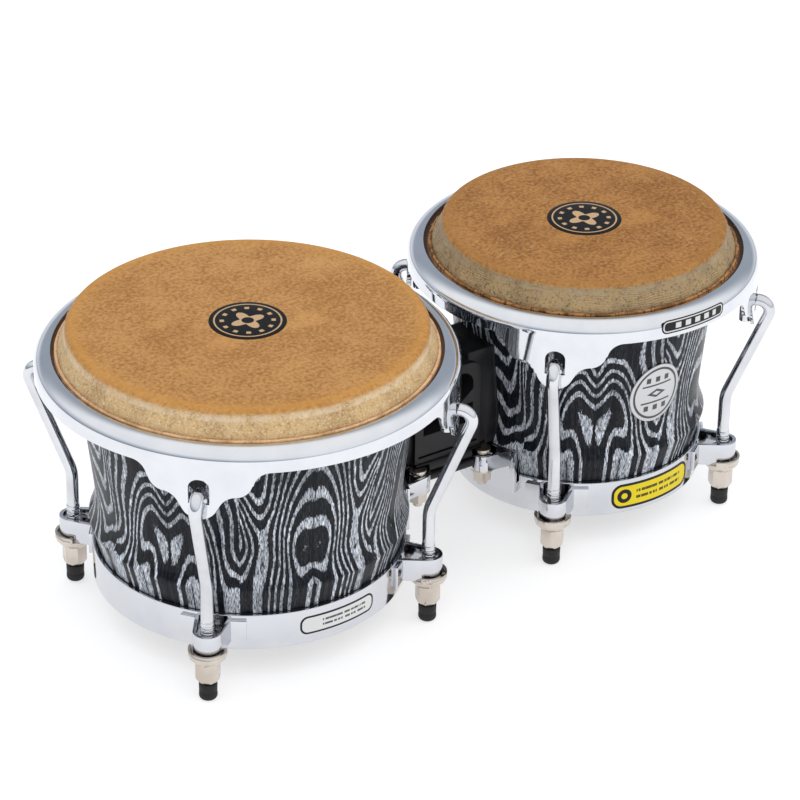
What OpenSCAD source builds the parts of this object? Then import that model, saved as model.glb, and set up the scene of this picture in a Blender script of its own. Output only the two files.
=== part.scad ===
// Bongo drums: a large drum (hembra) and a small drum (macho) joined by a bridge.
// Millimetres, +Z up. The drums stand on eight rubber tips at z = 0, the large
// drum at -X and the small one at +X, and the origin is under the middle.

/* [Layout] */
// Distance between the axes of the two drums
drum_spacing = 240; // [234:1:300]
// Angle of the tension hooks from the line through both drums
lug_angle = 45; // [40:1:50]

/* [Heads] */
// Diameter of the large drum's playing surface
hembra_head_d = 210.4; // [200:0.2:216]
// Diameter of the small drum's playing surface
macho_head_d = 173.6; // [165:0.2:180]
// Thickness of the hide
skin_t = 1.6; // [1:0.1:2.4]
// Radius of the fold where the hide turns down over the shell
fold_r = 4.2; // [3:0.1:6]
// Diameter of the wire in the flesh hoop
hoop_wire_d = 6.6; // [4:0.1:7]

/* [Shells] */
// Height of both wooden shells
shell_h = 159.6; // [140:0.2:200]
// Thickness of the shell's wall
shell_wall = 11; // [6:0.5:14]
// Diameter of the large shell at its waist
hembra_waist_d = 180.6; // [170:0.2:190]
// Diameter of the small shell at its waist
macho_waist_d = 149.2; // [140:0.2:158]
// How far the bulge under the waist stands out
bulge_out = 4; // [2:0.1:6]
// Height of the bulge above the shell's bottom
bulge_h = 37; // [32:0.5:42]
// Height of the waist above the bulge
waist_rise = 17; // [10:0.5:24]

/* [Rims] */
// Outer diameter of the large drum's rim
hembra_rim_d = 246.4; // [242:0.2:252]
// Outer diameter of the small drum's rim
macho_rim_d = 214; // [210:0.2:220]
// Thickness of the rim's steel
rim_t = 2; // [1.5:0.1:3]
// Width of the rim's rolled shoulder
shoulder_w = 9.9; // [9:0.1:11]
// Height of the rim's rolled shoulder
shoulder_h = 7.5; // [6:0.1:9]
// Drop from the playing surface to the top of the rim
rim_drop = 15.5; // [13:0.5:20]
// Height of the rim between its ears
rim_h = 13.2; // [11:0.1:18]
// Length of an ear below the rest of the rim
ear_h = 30.7; // [28:0.1:34]
// Width of the slot in an ear
slot_w = 12; // [10:0.5:14]
// Height of the slot in an ear
slot_h = 15.5; // [14:0.5:18]
// Height of the metal under the slot
bar_h = 9.7; // [7:0.1:11]

/* [Bottom rings] */
// How far the ring lies inside the bulge
ring_inset = 1.6; // [1:0.1:2.4]
// Height of the bottom ring
ring_h = 23.1; // [18:0.1:28]
// Thickness of the bottom ring's steel
ring_t = 2; // [1.5:0.1:3]
// Width of the flange under the shell
flange_w = 11; // [8:0.5:12]
// Thickness of the rubber between shell and ring
liner_t = 0.8; // [0.5:0.1:1]

/* [Tuning hardware] */
// Diameter of a tension hook's rod
rod_d = 7.5; // [6:0.1:8]
// Thread pitch of the rod
thread_pitch = 1.25; // [1:0.05:1.5]
// Distance from the ring to the rod's axis
lug_reach = 14.8; // [14:0.1:18]
// Lean of the rod where it passes round the rim, in degrees
rod_lean = 21.5; // [18:0.5:25]
// Radius of the bend where the lean starts
knee_r = 25; // [15:1:30]
// Radius of the hook at the middle of the rod
hook_r = 7.2; // [6.8:0.1:8]
// Length of the hook's straight tip
tip_len = 7; // [4:0.5:9]
// Height of the rubber tip that covers the rod's end
foot_h = 11; // [9:0.5:16]
// Diameter of the rubber tip
foot_d = 10.8; // [10:0.1:13]
// Height of the tuning nut
nut_h = 14.2; // [10:0.2:18]
// Width of the nut across its flats
nut_af = 13; // [12:0.1:15]
// Height of the cup washer under the bracket
cup_h = 5.5; // [4:0.1:8]
// Radius of the cup washer's rim
cup_r = 11.3; // [10.8:0.1:12]
// Height of a lug bracket
bracket_h = 14.3; // [11:0.1:18]
// Thickness of a lug bracket's steel
bracket_t = 2.3; // [1.6:0.1:3]
// Inner radius of a lug bracket's bend
bracket_r = 6.2; // [5:0.1:7]

/* [Bridge] */
// Width of the moulded block between the shells
block_w = 47.8; // [36:0.2:60]
// Depth of the block from front to back
block_d = 41; // [30:1:50]
// Height of the block
block_h = 65; // [52:1:70]
// Gap from the bulge up to the underside of the block
block_lift = -2; // [-4:0.5:4]
// Width of the block's outer ribs
rib_w = 6; // [4:0.5:9]
// Depth of the pockets in the block's faces
pocket_depth = 13; // [8:1:16]
// Thickness of the rubber pads between block and shells
pad_t = 1.5; // [1:0.1:3]
// Distance of the bridge bolts in front of and behind the middle
bolt_y = 23; // [20:0.5:26]
// Diameter of a bridge bolt
bolt_d = 6; // [5:0.5:7]
// Height of the black base frame under the block
base_h = 5; // [4:0.5:7]

/* [Badges] */
// Diameter of the round badge on each head
head_badge_d = 45; // [30:1:60]
// Width of the oval plate on the small shell
oval_w = 36; // [24:1:44]
// Height of the oval plate on the small shell
oval_h = 40; // [28:1:46]

/* [Hidden] */
$fn = 96;
HEMBRA = 0;
MACHO = 1;
DRUMS = ["hembra", "macho"];

// Running gap between parts that slide or turn on each other
slide_gap = 0.3;
thread_gap = 0.05;
skin_wrap_t = 1.2;
label_t = 0.4;

// Radii of the two drums, large one first
head_r = [hembra_head_d, macho_head_d] / 2;
rim_r = [hembra_rim_d, macho_rim_d] / 2;
waist_r = [hembra_waist_d, macho_waist_d] / 2;
bulge_r = [for (r = waist_r) r + bulge_out];
ring_r = [for (r = bulge_r) r - ring_inset];
shell_top_r = [for (r = head_r) r - skin_t];
foot_circle_r = [for (r = ring_r) r + lug_reach];
axis_x = [-(drum_spacing + rim_r[1] - rim_r[0]) / 2, (drum_spacing - rim_r[1] + rim_r[0]) / 2];
toward = [1, -1];
lug_angles = [lug_angle, 180 - lug_angle, 180 + lug_angle, 360 - lug_angle];

// Heights, from the floor up
nut_z = foot_h + slide_gap;
cup_z = nut_z + nut_h;
bracket_z = cup_z + cup_h;
ring_top_drop = 2;
ring_z = bracket_z + bracket_h + ring_top_drop - ring_h;
ring_top = ring_z + ring_h;
shell_z = ring_z + ring_t + liner_t;
bulge_z = shell_z + bulge_h;
waist_z = bulge_z + waist_rise;
shell_top = shell_z + shell_h;
head_top = shell_top + skin_t;
fold_end = head_top - fold_r;
rim_top = head_top - rim_drop;
rim_bottom = rim_top - rim_h;
ear_bottom = rim_bottom - ear_h;
slot_bottom = ear_bottom + bar_h;
shoulder_z = rim_top - shoulder_h;

// Flesh hoop, hung under the rolled shoulder
hoop_r = hoop_wire_d / 2;
roll_r = hoop_r + skin_wrap_t;
roll_in = 0.4;
roll_z = rim_top - rim_t - roll_r;

// Hook: its centre lies just outside the rim's skirt, over the bar under the slot
rod_r = rod_d / 2;
hook_out = 1.05;
hook_drop = 1;
// The hook's forged tip is a little thicker than the rod, and starts inside its bend
tip_swell = 0.2;
tip_sink = 0.4;
// Each straight runs this far into the bends beside it, which are a hair thinner
bend_seat = 0.4;
bend_shrink = 0.03;
hook_z = slot_bottom - hook_drop;
rod_end = 3.5;

// Bridge
gap_low = axis_x[0] + waist_r[0];
gap_high = axis_x[1] - waist_r[1];
block_x = (gap_low + gap_high) / 2;
block_z = bulge_z + block_lift;
bolt_r = bolt_d / 2;
boss_r = 5.2;
boss_x = [for (k = [0, 1]) axis_x[k] + toward[k] * (sqrt(pow(ring_r[k], 2) - pow(bolt_y, 2)) + lug_reach)];
bridge_strap_h = 10;
band_z = ring_z + 12;
strap_low = block_z - base_h - 2.5;
strap_high = strap_low + bridge_strap_h;
band_gap = 0.4;
bolt_head_t = 3;
bolt_clear = 0.5;
saddle_low = strap_high + 1;
saddle_high = block_z + block_h + 5;

per_drum = ["shell", "head", "head_collar", "flesh_hoop", "rim", "bottom_ring", "ring_liner", "lug_brackets",
    "cup_washers", "head_badge", "bridge_bracket"];
numbered = ["hook", "nut", "foot"];

// Points of an arc from one angle to another
function arc(r, from, to, steps, c = [0, 0]) =
    [for (i = [0 : steps]) let (a = from + (to - from) * i / steps) c + r * [cos(a), sin(a)]];

function reversed(list) = [for (i = [len(list) - 1 : -1 : 0]) list[i]];

// The shell's outer line above its bulge: a short hollow up to the waist,
// then a slow flare up to the head
function flare(k, t) = waist_r[k] + (shell_top_r[k] - waist_r[k]) * pow(t, 1.15);
function hollow(k, t) = waist_r[k] + (bulge_r[k] - waist_r[k]) * pow(1 - t, 2);
function shell_line(k) = let (
        foot_r = ring_r[k] - ring_t - liner_t,
        edge_r = fold_r - skin_t,
        flare_end = head_top - fold_r
    ) concat(
        [[foot_r, shell_z], [foot_r, ring_top + liner_t], [bulge_r[k], bulge_z]],
        [for (t = [0.2 : 0.2 : 0.99]) [hollow(k, t), bulge_z + waist_rise * t]],
        [for (t = [0 : 0.125 : 0.99]) [flare(k, t), waist_z + (flare_end - waist_z) * t]],
        arc(edge_r, 0, 90, 6, [shell_top_r[k] - edge_r, flare_end]));

// Moves a part to a drum's axis
module at_drum(k) {
    translate([axis_x[k], 0, 0]) children();
}

// Puts a part at one lug, +X pointing away from the drum
module at_lug(k, i) {
    at_drum(k) rotate([0, 0, lug_angles[i]]) translate([foot_circle_r[k], 0, 0]) children();
}

// Everything inside the shell's outer surface, grown by an amount
module shell_body(k, grow = 0) {
    line = shell_line(k);
    at_drum(k) rotate_extrude()
        polygon(concat([[0, shell_z]], [for (p = line) [p[0] + grow, p[1]]], [[0, shell_top]]));
}

module shell(k) {
    foot_r = ring_r[k] - ring_t - liner_t;
    lip_w = 3.5;
    lip_h = 6;
    color([0.12, 0.12, 0.13]) at_drum(k) rotate_extrude()
        polygon(concat(shell_line(k), [
            [shell_top_r[k] - lip_w - 1, shell_top],
            [shell_top_r[k] - shell_wall, shell_top - lip_h],
            [waist_r[k] - shell_wall, waist_z],
            [foot_r - shell_wall, shell_z]]));
}

module head(k) {
    out = arc(fold_r, 90, 0, 6, [head_r[k] - fold_r, fold_end]);
    in = arc(fold_r - skin_t, 0, 90, 6, [head_r[k] - fold_r, fold_end]);
    color([0.84, 0.62, 0.36]) at_drum(k) rotate_extrude()
        polygon(concat([[0, head_top]], out, in, [[0, shell_top]]));
}

// The skin below the fold: down the shell's side and round the flesh hoop
module head_collar(k) {
    c = [rim_r[k] - shoulder_w - roll_in, roll_z];
    top = fold_end - slide_gap;
    color([0.9, 0.74, 0.52]) at_drum(k) rotate_extrude() difference() {
        polygon(concat(
            [[shell_top_r[k] + slide_gap, top], [head_r[k], top]],
            arc(roll_r, 150, -150, 30, c)));
        translate(c) circle(hoop_r);
    }
}

module flesh_hoop(k) {
    color("dimgray") at_drum(k) rotate_extrude()
        translate([rim_r[k] - shoulder_w - roll_in, roll_z]) circle(hoop_r);
}

// Half of an ear's outline, from its tip up to the skirt's lower edge
function ear_half() = concat(
    arc(11, 270, 330, 5, [0, 11]),
    arc(10.2, 155, 95, 4, [21, 5]),
    arc(9.3, 278, 345, 4, [20.5, ear_h - 6.2]),
    arc(9.3, 170, 95, 4, [39.5, ear_h - 9.3]));

module ear_outline() {
    half = [for (p = ear_half()) [p[0], min(p[1], ear_h + 0.1)]];
    left = [for (p = reversed(half)) [-p[0], p[1]]];
    polygon(concat(left, half, [[half[len(half) - 1][0], ear_h + 1], [-half[len(half) - 1][0], ear_h + 1]]));
}

module slot_outline() {
    corner = slot_w / 2 - 0.5;
    translate([-slot_w / 2, 0]) square([slot_w, slot_h - corner]);
    translate([0, slot_h - corner]) scale([slot_w / 2 / corner, 1]) circle(corner);
}

module rim(k) {
    inner = shoulder_w - rim_t;
    c = [rim_r[k] - shoulder_w, shoulder_z];
    ring_wall = concat(
        [for (t = [0 : 10 : 90]) c + [shoulder_w * sin(t), shoulder_h * cos(t)]],
        [[rim_r[k], rim_bottom], [rim_r[k] - rim_t, rim_bottom]],
        [for (t = [90 : -10 : 0]) c + [inner * sin(t), (shoulder_h - rim_t) * cos(t)]]);
    color([0.86, 0.87, 0.9]) at_drum(k) difference() {
        union() {
            rotate_extrude() polygon(ring_wall);
            for (a = lug_angles) intersection() {
                difference() {
                    translate([0, 0, ear_bottom]) cylinder(r = rim_r[k], h = ear_h + 1, $fn = 96);
                    translate([0, 0, ear_bottom - 1]) cylinder(r = rim_r[k] - rim_t, h = ear_h + 3, $fn = 96);
                }
                rotate([0, 0, a]) translate([0, 0, ear_bottom]) rotate([90, 0, 90])
                    linear_extrude(rim_r[k] + 5) ear_outline();
            }
        }
        for (a = lug_angles) rotate([0, 0, a]) translate([rim_r[k] - 20, 0, slot_bottom])
            rotate([90, 0, 90]) linear_extrude(40) slot_outline();
    }
}

module bottom_ring(k) {
    r = ring_r[k];
    color([0.84, 0.85, 0.88]) at_drum(k) rotate_extrude() polygon([
        [r, ring_z], [r, ring_top], [r - ring_t, ring_top], [r - ring_t, ring_z + ring_t],
        [r - ring_t - flange_w, ring_z + ring_t], [r - ring_t - flange_w, ring_z]]);
}

module ring_liner(k) {
    r = ring_r[k] - ring_t;
    z = ring_z + ring_t;
    color([0.1, 0.1, 0.1]) at_drum(k) rotate_extrude() polygon([
        [r, z], [r, ring_top], [r - liner_t, ring_top], [r - liner_t, z + liner_t],
        [r - flange_w + 1, z + liner_t], [r - flange_w + 1, z]]);
}

// A U-shaped strap that opens toward -X, its bend round the local Z axis
module strap(inner_r, wall, reach, h) {
    outer_r = inner_r + wall;
    spread = 1.19;
    difference() {
        linear_extrude(h) {
            circle(outer_r);
            polygon([[0, outer_r], [-reach, outer_r * spread + 1], [-reach, -outer_r * spread - 1], [0, -outer_r]]);
        }
        translate([0, 0, -1]) linear_extrude(h + 2) {
            circle(inner_r);
            polygon([[0, inner_r], [-reach - 1, outer_r * spread + 1 - wall],
                [-reach - 1, -outer_r * spread - 1 + wall], [0, -inner_r]]);
        }
    }
}

module lug_brackets(k) {
    // The strap is welded to the ring by a flat tab on each side, set a little in from its edges.
    outer_r = bracket_r + bracket_t;
    tab_w = 10;
    tab_in = 0.5;
    tab_angle = asin((outer_r * 1.19 + 4) / ring_r[k]);
    sink = 1;
    color([0.85, 0.86, 0.89]) for (i = [0 : 3]) difference() {
        union() {
            at_lug(k, i) translate([0, 0, bracket_z]) strap(bracket_r, bracket_t, lug_reach + 2, bracket_h);
            for (side = [-tab_angle, tab_angle]) at_drum(k) rotate([0, 0, lug_angles[i] + side])
                translate([ring_r[k] - sink, -tab_w / 2, bracket_z + tab_in])
                    cube([bracket_t + sink, tab_w, bracket_h - 2 * tab_in]);
        }
        at_drum(k) translate([0, 0, bracket_z - 1]) cylinder(r = ring_r[k], h = bracket_h + 2);
    }
}

module cup_washers(k) {
    bore_r = rod_r + 0.5;
    lip_t = 1.3;
    lip_h = 2.8;
    lip_sink = 0.5;
    lip_angle = 200;
    color([0.80, 0.74, 0.68]) for (i = [0 : 3]) at_lug(k, i) translate([0, 0, cup_z]) {
        rotate_extrude() polygon([
            [bore_r, 0], [bore_r + 3.6, 0], [cup_r - 0.6, cup_h - 2.2], [cup_r, cup_h], [bore_r, cup_h]]);
        rotate([0, 0, -lip_angle / 2]) translate([0, 0, cup_h - lip_sink]) rotate_extrude(angle = lip_angle)
            translate([cup_r - lip_t, 0]) square([lip_t, lip_h + lip_sink]);
    }
}

module nut(k, i) {
    chamfer = 1.6;
    r = nut_af / 2;
    point_r = r / cos(30);
    color([0.80, 0.74, 0.68]) at_lug(k, i) translate([0, 0, nut_z]) difference() {
        intersection() {
            linear_extrude(nut_h) circle(point_r, $fn = 6);
            rotate_extrude() polygon([
                [0, 0], [r - chamfer, 0], [point_r + 0.1, chamfer + 2], [point_r + 0.1, nut_h - 1],
                [r + 0.2, nut_h], [0, nut_h]]);
        }
        translate([0, 0, -1]) cylinder(r = rod_r + thread_gap, h = nut_h + 2);
    }
}

// A bend from the origin's +Z direction toward +X, with the rest of the rod after it
module bend(r, angle) {
    translate([r, 0, 0]) rotate([90, 0, 180]) rotate_extrude(angle = angle)
        translate([r, 0]) circle(rod_r - bend_shrink);
    translate([r * (1 - cos(angle)), 0, r * sin(angle)]) rotate([0, angle, 0]) children();
}

module straight(len, seat = bend_seat) {
    translate([0, 0, -seat]) cylinder(r = rod_r, h = len + seat + bend_seat);
    translate([0, 0, len]) children();
}

module hook(k, i) {
    end_r = rim_r[k] + hook_out + hook_r * cos(rod_lean);
    end_z = hook_z - hook_r * sin(rod_lean);
    lean_len = (end_r - foot_circle_r[k] - knee_r * (1 - cos(rod_lean))) / sin(rod_lean);
    knee_z = end_z - lean_len * cos(rod_lean) - knee_r * sin(rod_lean);
    color([0.88, 0.89, 0.9]) at_lug(k, i) translate([0, 0, rod_end])
        straight(knee_z - rod_end, 0) bend(knee_r, rod_lean) straight(lean_len)
            rotate([0, 0, 180]) bend(hook_r, 180 + rod_lean)
                translate([0, 0, -tip_sink]) cylinder(r = rod_r + tip_swell, h = tip_len + tip_sink);
}

module foot(k, i) {
    edge = 2.6;
    r = foot_d / 2;
    color([0.08, 0.08, 0.08]) at_lug(k, i) difference() {
        rotate_extrude() polygon(concat(
            [[0, 0]], arc(edge, -90, 0, 6, [r - edge, edge]), [[r, foot_h], [0, foot_h]]));
        translate([0, 0, rod_end]) cylinder(r = rod_r, h = foot_h);
    }
}

module head_badge(k) {
    color([0.07, 0.07, 0.08]) at_drum(k) translate([0, 0, head_top]) cylinder(d = head_badge_d, h = label_t);
}

// Oval plate bent round the front of the small shell
module oval_plate() {
    plate_z = waist_z + 23;
    plate_t = 1.2;
    color([0.82, 0.83, 0.84]) difference() {
        intersection() {
            shell_body(MACHO, plate_t);
            translate([axis_x[MACHO], 0, plate_z]) rotate([90, 0, 0]) scale([oval_w / oval_h, 1, 1])
                cylinder(d = oval_h, h = rim_r[MACHO]);
        }
        shell_body(MACHO);
    }
}

// Pockets in one face of the block, drawn in that face's plane
module pockets() {
    half = block_w / 2 - rib_w;
    upper = block_h * 0.30;
    lower = block_h * 0.20;
    mid_z = block_z + block_h * 0.38;
    top_z = block_z + block_h - rib_w;
    polygon(concat(
        arc(8, 0, 90, 6, [half - 8, top_z - 8]), arc(8, 90, 180, 6, [-half + 8, top_z - 8]),
        [[-half, top_z - upper * 0.62], [-half + 9, top_z - upper], [half - 9, top_z - upper],
            [half, top_z - upper * 0.62]]));
    translate([-half, mid_z]) square([2 * half, lower]);
}

module bridge_block() {
    corner = 9;
    groove_z = block_z + block_h * 0.15;
    bead_r = 3.4;
    bead_z = block_z + bead_r;
    half = block_w / 2;
    color([0.2, 0.2, 0.21]) difference() {
        union() {
            translate([block_x, block_d / 2, 0]) rotate([90, 0, 0]) linear_extrude(block_d)
                polygon(concat(
                    [[-half, block_z], [half, block_z]],
                    arc(corner, 0, 90, 6, [half - corner, block_z + block_h - corner]),
                    arc(corner, 90, 180, 6, [-half + corner, block_z + block_h - corner])));
            for (side = [-1, 1]) translate([block_x - half, side * block_d / 2, bead_z])
                rotate([0, 90, 0]) cylinder(r = bead_r, h = block_w);
            difference() {
                translate([gap_low - 20, -block_d / 2 + 3, saddle_low])
                    cube([gap_high - gap_low + 40, block_d - 6, saddle_high - saddle_low]);
                translate([block_x - half + 8, -block_d, block_z + block_h - 8])
                    cube([block_w - 16, 2 * block_d, 40]);
            }
        }
        shell_body(HEMBRA, pad_t);
        shell_body(MACHO, pad_t);
        for (k = [0, 1]) for (side = [-1, 1]) translate([boss_x[k], side * bolt_y, block_z - 1])
            cylinder(r = boss_r + bracket_t + bolt_clear, h = strap_high - block_z + 1 + bolt_head_t + bolt_clear);
        for (side = [0, 180]) translate([block_x, 0, 0]) rotate([0, 0, side]) {
            translate([0, -block_d / 2 + pocket_depth, 0]) rotate([90, 0, 0])
                linear_extrude(pocket_depth + 1) pockets();
            translate([-half + 2.5, -block_d / 2 - 1, groove_z]) cube([block_w - 5, 3.5, 1.6]);
        }
    }
}

module bridge_pads() {
    color([0.09, 0.09, 0.09]) for (k = [HEMBRA, MACHO]) difference() {
        intersection() {
            shell_body(k, pad_t);
            translate([k == HEMBRA ? gap_low - 20 : block_x, -block_d / 2 + 3, saddle_low])
                cube([k == HEMBRA ? block_x - gap_low + 20 : gap_high - block_x + 20, block_d - 6,
                    saddle_high - saddle_low]);
        }
        shell_body(k);
    }
}

module bridge_base() {
    rail_r = base_h / 2;
    z = block_z - base_h;
    color([0.13, 0.13, 0.14]) difference() {
        union() {
            translate([boss_x[0], -bolt_y, z]) cube([boss_x[1] - boss_x[0], 2 * bolt_y, base_h]);
            for (k = [0, 1]) for (side = [-1, 1]) translate([boss_x[k], side * bolt_y, strap_low])
                cylinder(r = boss_r, h = bridge_strap_h);
            for (side = [-1, 1]) translate([boss_x[0], side * bolt_y, z + rail_r])
                rotate([0, 90, 0]) cylinder(r = rail_r, h = boss_x[1] - boss_x[0]);
        }
        for (k = [0, 1]) for (side = [-1, 1]) translate([boss_x[k], side * bolt_y, strap_low - 1])
            cylinder(r = bolt_r + 0.2, h = bridge_strap_h + 2);
        translate([block_x - block_w / 2, -block_d / 2 - 4, block_z])
            cube([block_w, block_d + 8, 20]);
    }
}

// Chrome bracket on a ring: a low band, a band set out past the bulge,
// and two straps that hold the ends of the base frame
module bridge_bracket(k) {
    out_r = bulge_r[k] + band_gap;
    half = asin((bolt_y + 12) / out_r);
    mid = k == HEMBRA ? 0 : 180;
    color([0.85, 0.86, 0.89]) {
        at_drum(k) rotate([0, 0, mid - half]) {
            translate([0, 0, band_z]) rotate_extrude(angle = 2 * half)
                translate([ring_r[k], 0]) square([out_r - ring_r[k] + bracket_t, 6]);
            translate([0, 0, band_z + 3]) rotate_extrude(angle = 2 * half)
                translate([out_r, 0]) square([bracket_t, strap_high - band_z - 3]);
        }
        difference() {
            for (side = [-1, 1]) translate([boss_x[k], side * bolt_y, strap_low])
                rotate([0, 0, mid]) strap(boss_r + 0.1, bracket_t, lug_reach + 2, bridge_strap_h);
            at_drum(k) translate([0, 0, strap_low - 1]) cylinder(r = out_r, h = bridge_strap_h + 2);
            translate([boss_x[0], -bolt_y - bracket_t, block_z - base_h - 0.2])
                cube([boss_x[1] - boss_x[0], 2 * (bolt_y + bracket_t), base_h + 0.4]);
        }
    }
}

module bridge_bolts() {
    shank = bridge_strap_h + 12;
    color([0.80, 0.74, 0.68]) for (k = [0, 1]) for (side = [-1, 1]) translate([boss_x[k], side * bolt_y, 0]) {
        translate([0, 0, strap_high - shank]) cylinder(r = bolt_r, h = shank);
        translate([0, 0, strap_high]) cylinder(r = boss_r, h = bolt_head_t);
    }
}

module bridge_nuts() {
    washer_t = 1.5;
    washer_r = boss_r + bracket_t;
    bolt_nut_h = 7;
    color([0.80, 0.74, 0.68]) for (k = [0, 1]) for (side = [-1, 1])
        translate([boss_x[k], side * bolt_y, strap_low - washer_t]) difference() {
            union() {
                cylinder(r = washer_r, h = washer_t);
                translate([0, 0, -bolt_nut_h]) linear_extrude(bolt_nut_h) circle(5.2 / cos(30), $fn = 6);
            }
            translate([0, 0, -bolt_nut_h - 1]) cylinder(r = bolt_r, h = bolt_nut_h + washer_t + 2);
        }
}

module bridge_screws() {
    color([0.7, 0.7, 0.72]) for (side = [-1, 1]) translate([block_x + side * block_w / 4, 0, block_z - base_h])
        translate([0, 0, -2.5]) cylinder(r = 4.5, h = 2.5);
}

module drum_part(k, p) {
    if (p == "shell") shell(k);
    if (p == "head") head(k);
    if (p == "head_collar") head_collar(k);
    if (p == "flesh_hoop") flesh_hoop(k);
    if (p == "rim") rim(k);
    if (p == "bottom_ring") bottom_ring(k);
    if (p == "ring_liner") ring_liner(k);
    if (p == "lug_brackets") lug_brackets(k);
    if (p == "cup_washers") cup_washers(k);
    if (p == "head_badge") head_badge(k);
    if (p == "bridge_bracket") bridge_bracket(k);
}

for (k = [HEMBRA, MACHO]) {
    for (p = per_drum) drum_part(k, p);
    for (i = [0 : 3]) {
        hook(k, i);
        nut(k, i);
        foot(k, i);
    }
}
oval_plate();  // macho_oval_plate
bridge_block();
bridge_pads();
bridge_base();
bridge_bolts();
bridge_nuts();
bridge_screws();
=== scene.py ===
"""A pair of bongo drums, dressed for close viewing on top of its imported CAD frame.

Each sub-assembly is a class that holds its sizes in metres and builds, dresses and
places its own pieces. Each finish is a small class that makes one material.
"""

import logging
import math
from dataclasses import dataclass, field
from enum import Enum
from typing import Any, Sequence

import bmesh
import bpy
import numpy as np
from mathutils import Matrix, Vector, noise


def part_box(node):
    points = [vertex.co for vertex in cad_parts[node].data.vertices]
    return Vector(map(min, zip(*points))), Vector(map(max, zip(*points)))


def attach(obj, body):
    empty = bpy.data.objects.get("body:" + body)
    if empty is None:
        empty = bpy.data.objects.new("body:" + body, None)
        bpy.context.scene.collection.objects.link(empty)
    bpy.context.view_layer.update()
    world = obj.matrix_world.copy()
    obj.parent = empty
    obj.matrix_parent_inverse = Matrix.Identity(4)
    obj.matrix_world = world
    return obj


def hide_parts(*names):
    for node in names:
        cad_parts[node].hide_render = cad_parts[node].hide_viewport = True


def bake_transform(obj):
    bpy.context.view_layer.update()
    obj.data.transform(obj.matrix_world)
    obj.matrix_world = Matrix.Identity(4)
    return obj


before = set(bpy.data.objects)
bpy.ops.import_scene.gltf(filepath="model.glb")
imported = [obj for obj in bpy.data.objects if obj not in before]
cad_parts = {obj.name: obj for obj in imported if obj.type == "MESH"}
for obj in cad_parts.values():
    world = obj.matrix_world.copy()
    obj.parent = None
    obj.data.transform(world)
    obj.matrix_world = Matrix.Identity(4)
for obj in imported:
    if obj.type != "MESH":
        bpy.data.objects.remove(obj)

log = logging.getLogger("bongos")
MM = 0.001
Colour = tuple[float, float, float]
Point = tuple[float, float]


class Drum(Enum):
    """The two drums of the pair, by the prefix of their nodes."""

    LARGE = "hembra"
    SMALL = "macho"


class LabelStyle(Enum):
    """What a stuck-on label shows."""

    SUNNY = "yellow lozenge with a black rim and disc"
    PLAIN = "white lozenge with a black rim"
    BAND = "black band with white bars"


# ---------------------------------------------------------------- node graphs


class Num:
    """A number that runs through a node graph, with Python's operators."""

    def __init__(self, graph: "Graph", socket: bpy.types.NodeSocket) -> None:
        """Wraps an output socket of a graph."""
        self.graph = graph
        self.socket = socket

    def math(self, operation: str, *others: Any) -> "Num":
        """Adds a Math node that works on this number.

        Args:
            operation: the Math node's operation.
            others: the node's further operands.

        Returns:
            The node's result.
        """
        operands = dict(enumerate((self, *others)))
        return self.graph.num("ShaderNodeMath", {"operation": operation}, operands)

    def __add__(self, other: Any) -> "Num":
        """Sum."""
        return self.math("ADD", other)

    def __radd__(self, other: Any) -> "Num":
        """Sum with the number on the right."""
        return self.math("ADD", other)

    def __sub__(self, other: Any) -> "Num":
        """Difference."""
        return self.math("SUBTRACT", other)

    def __rsub__(self, other: Any) -> "Num":
        """Difference with the number on the right."""
        return self.graph.num("ShaderNodeMath", {"operation": "SUBTRACT"}, {0: other, 1: self})

    def __mul__(self, other: Any) -> "Num":
        """Product."""
        return self.math("MULTIPLY", other)

    def __rmul__(self, other: Any) -> "Num":
        """Product with the number on the right."""
        return self.math("MULTIPLY", other)

    def __truediv__(self, other: Any) -> "Num":
        """Quotient."""
        return self.math("DIVIDE", other)

    def __rtruediv__(self, other: Any) -> "Num":
        """Quotient with the number below."""
        return self.graph.num(
            "ShaderNodeMath", {"operation": "DIVIDE"}, {0: other, 1: self}
        )

    def __pow__(self, other: Any) -> "Num":
        """Power."""
        return self.math("POWER", other)

    def above(self, other: Any) -> "Num":
        """The larger of two numbers."""
        return self.math("MAXIMUM", other)

    def below(self, other: Any) -> "Num":
        """The smaller of two numbers."""
        return self.math("MINIMUM", other)

    def step(self, low: float, high: float) -> "Num":
        """A smooth rise from 0 at one value to 1 at another.

        Args:
            low: the value where the result is 0.
            high: the value where the result is 1, which may be the smaller one.

        Returns:
            A number from 0 to 1.
        """
        settings = {"interpolation_type": "SMOOTHSTEP"}
        inputs = {0: self, 1: low, 2: high, 3: 0.0, 4: 1.0}
        if low > high:
            inputs = {0: self, 1: high, 2: low, 3: 1.0, 4: 0.0}
        return self.graph.num("ShaderNodeMapRange", settings, inputs)


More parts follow.
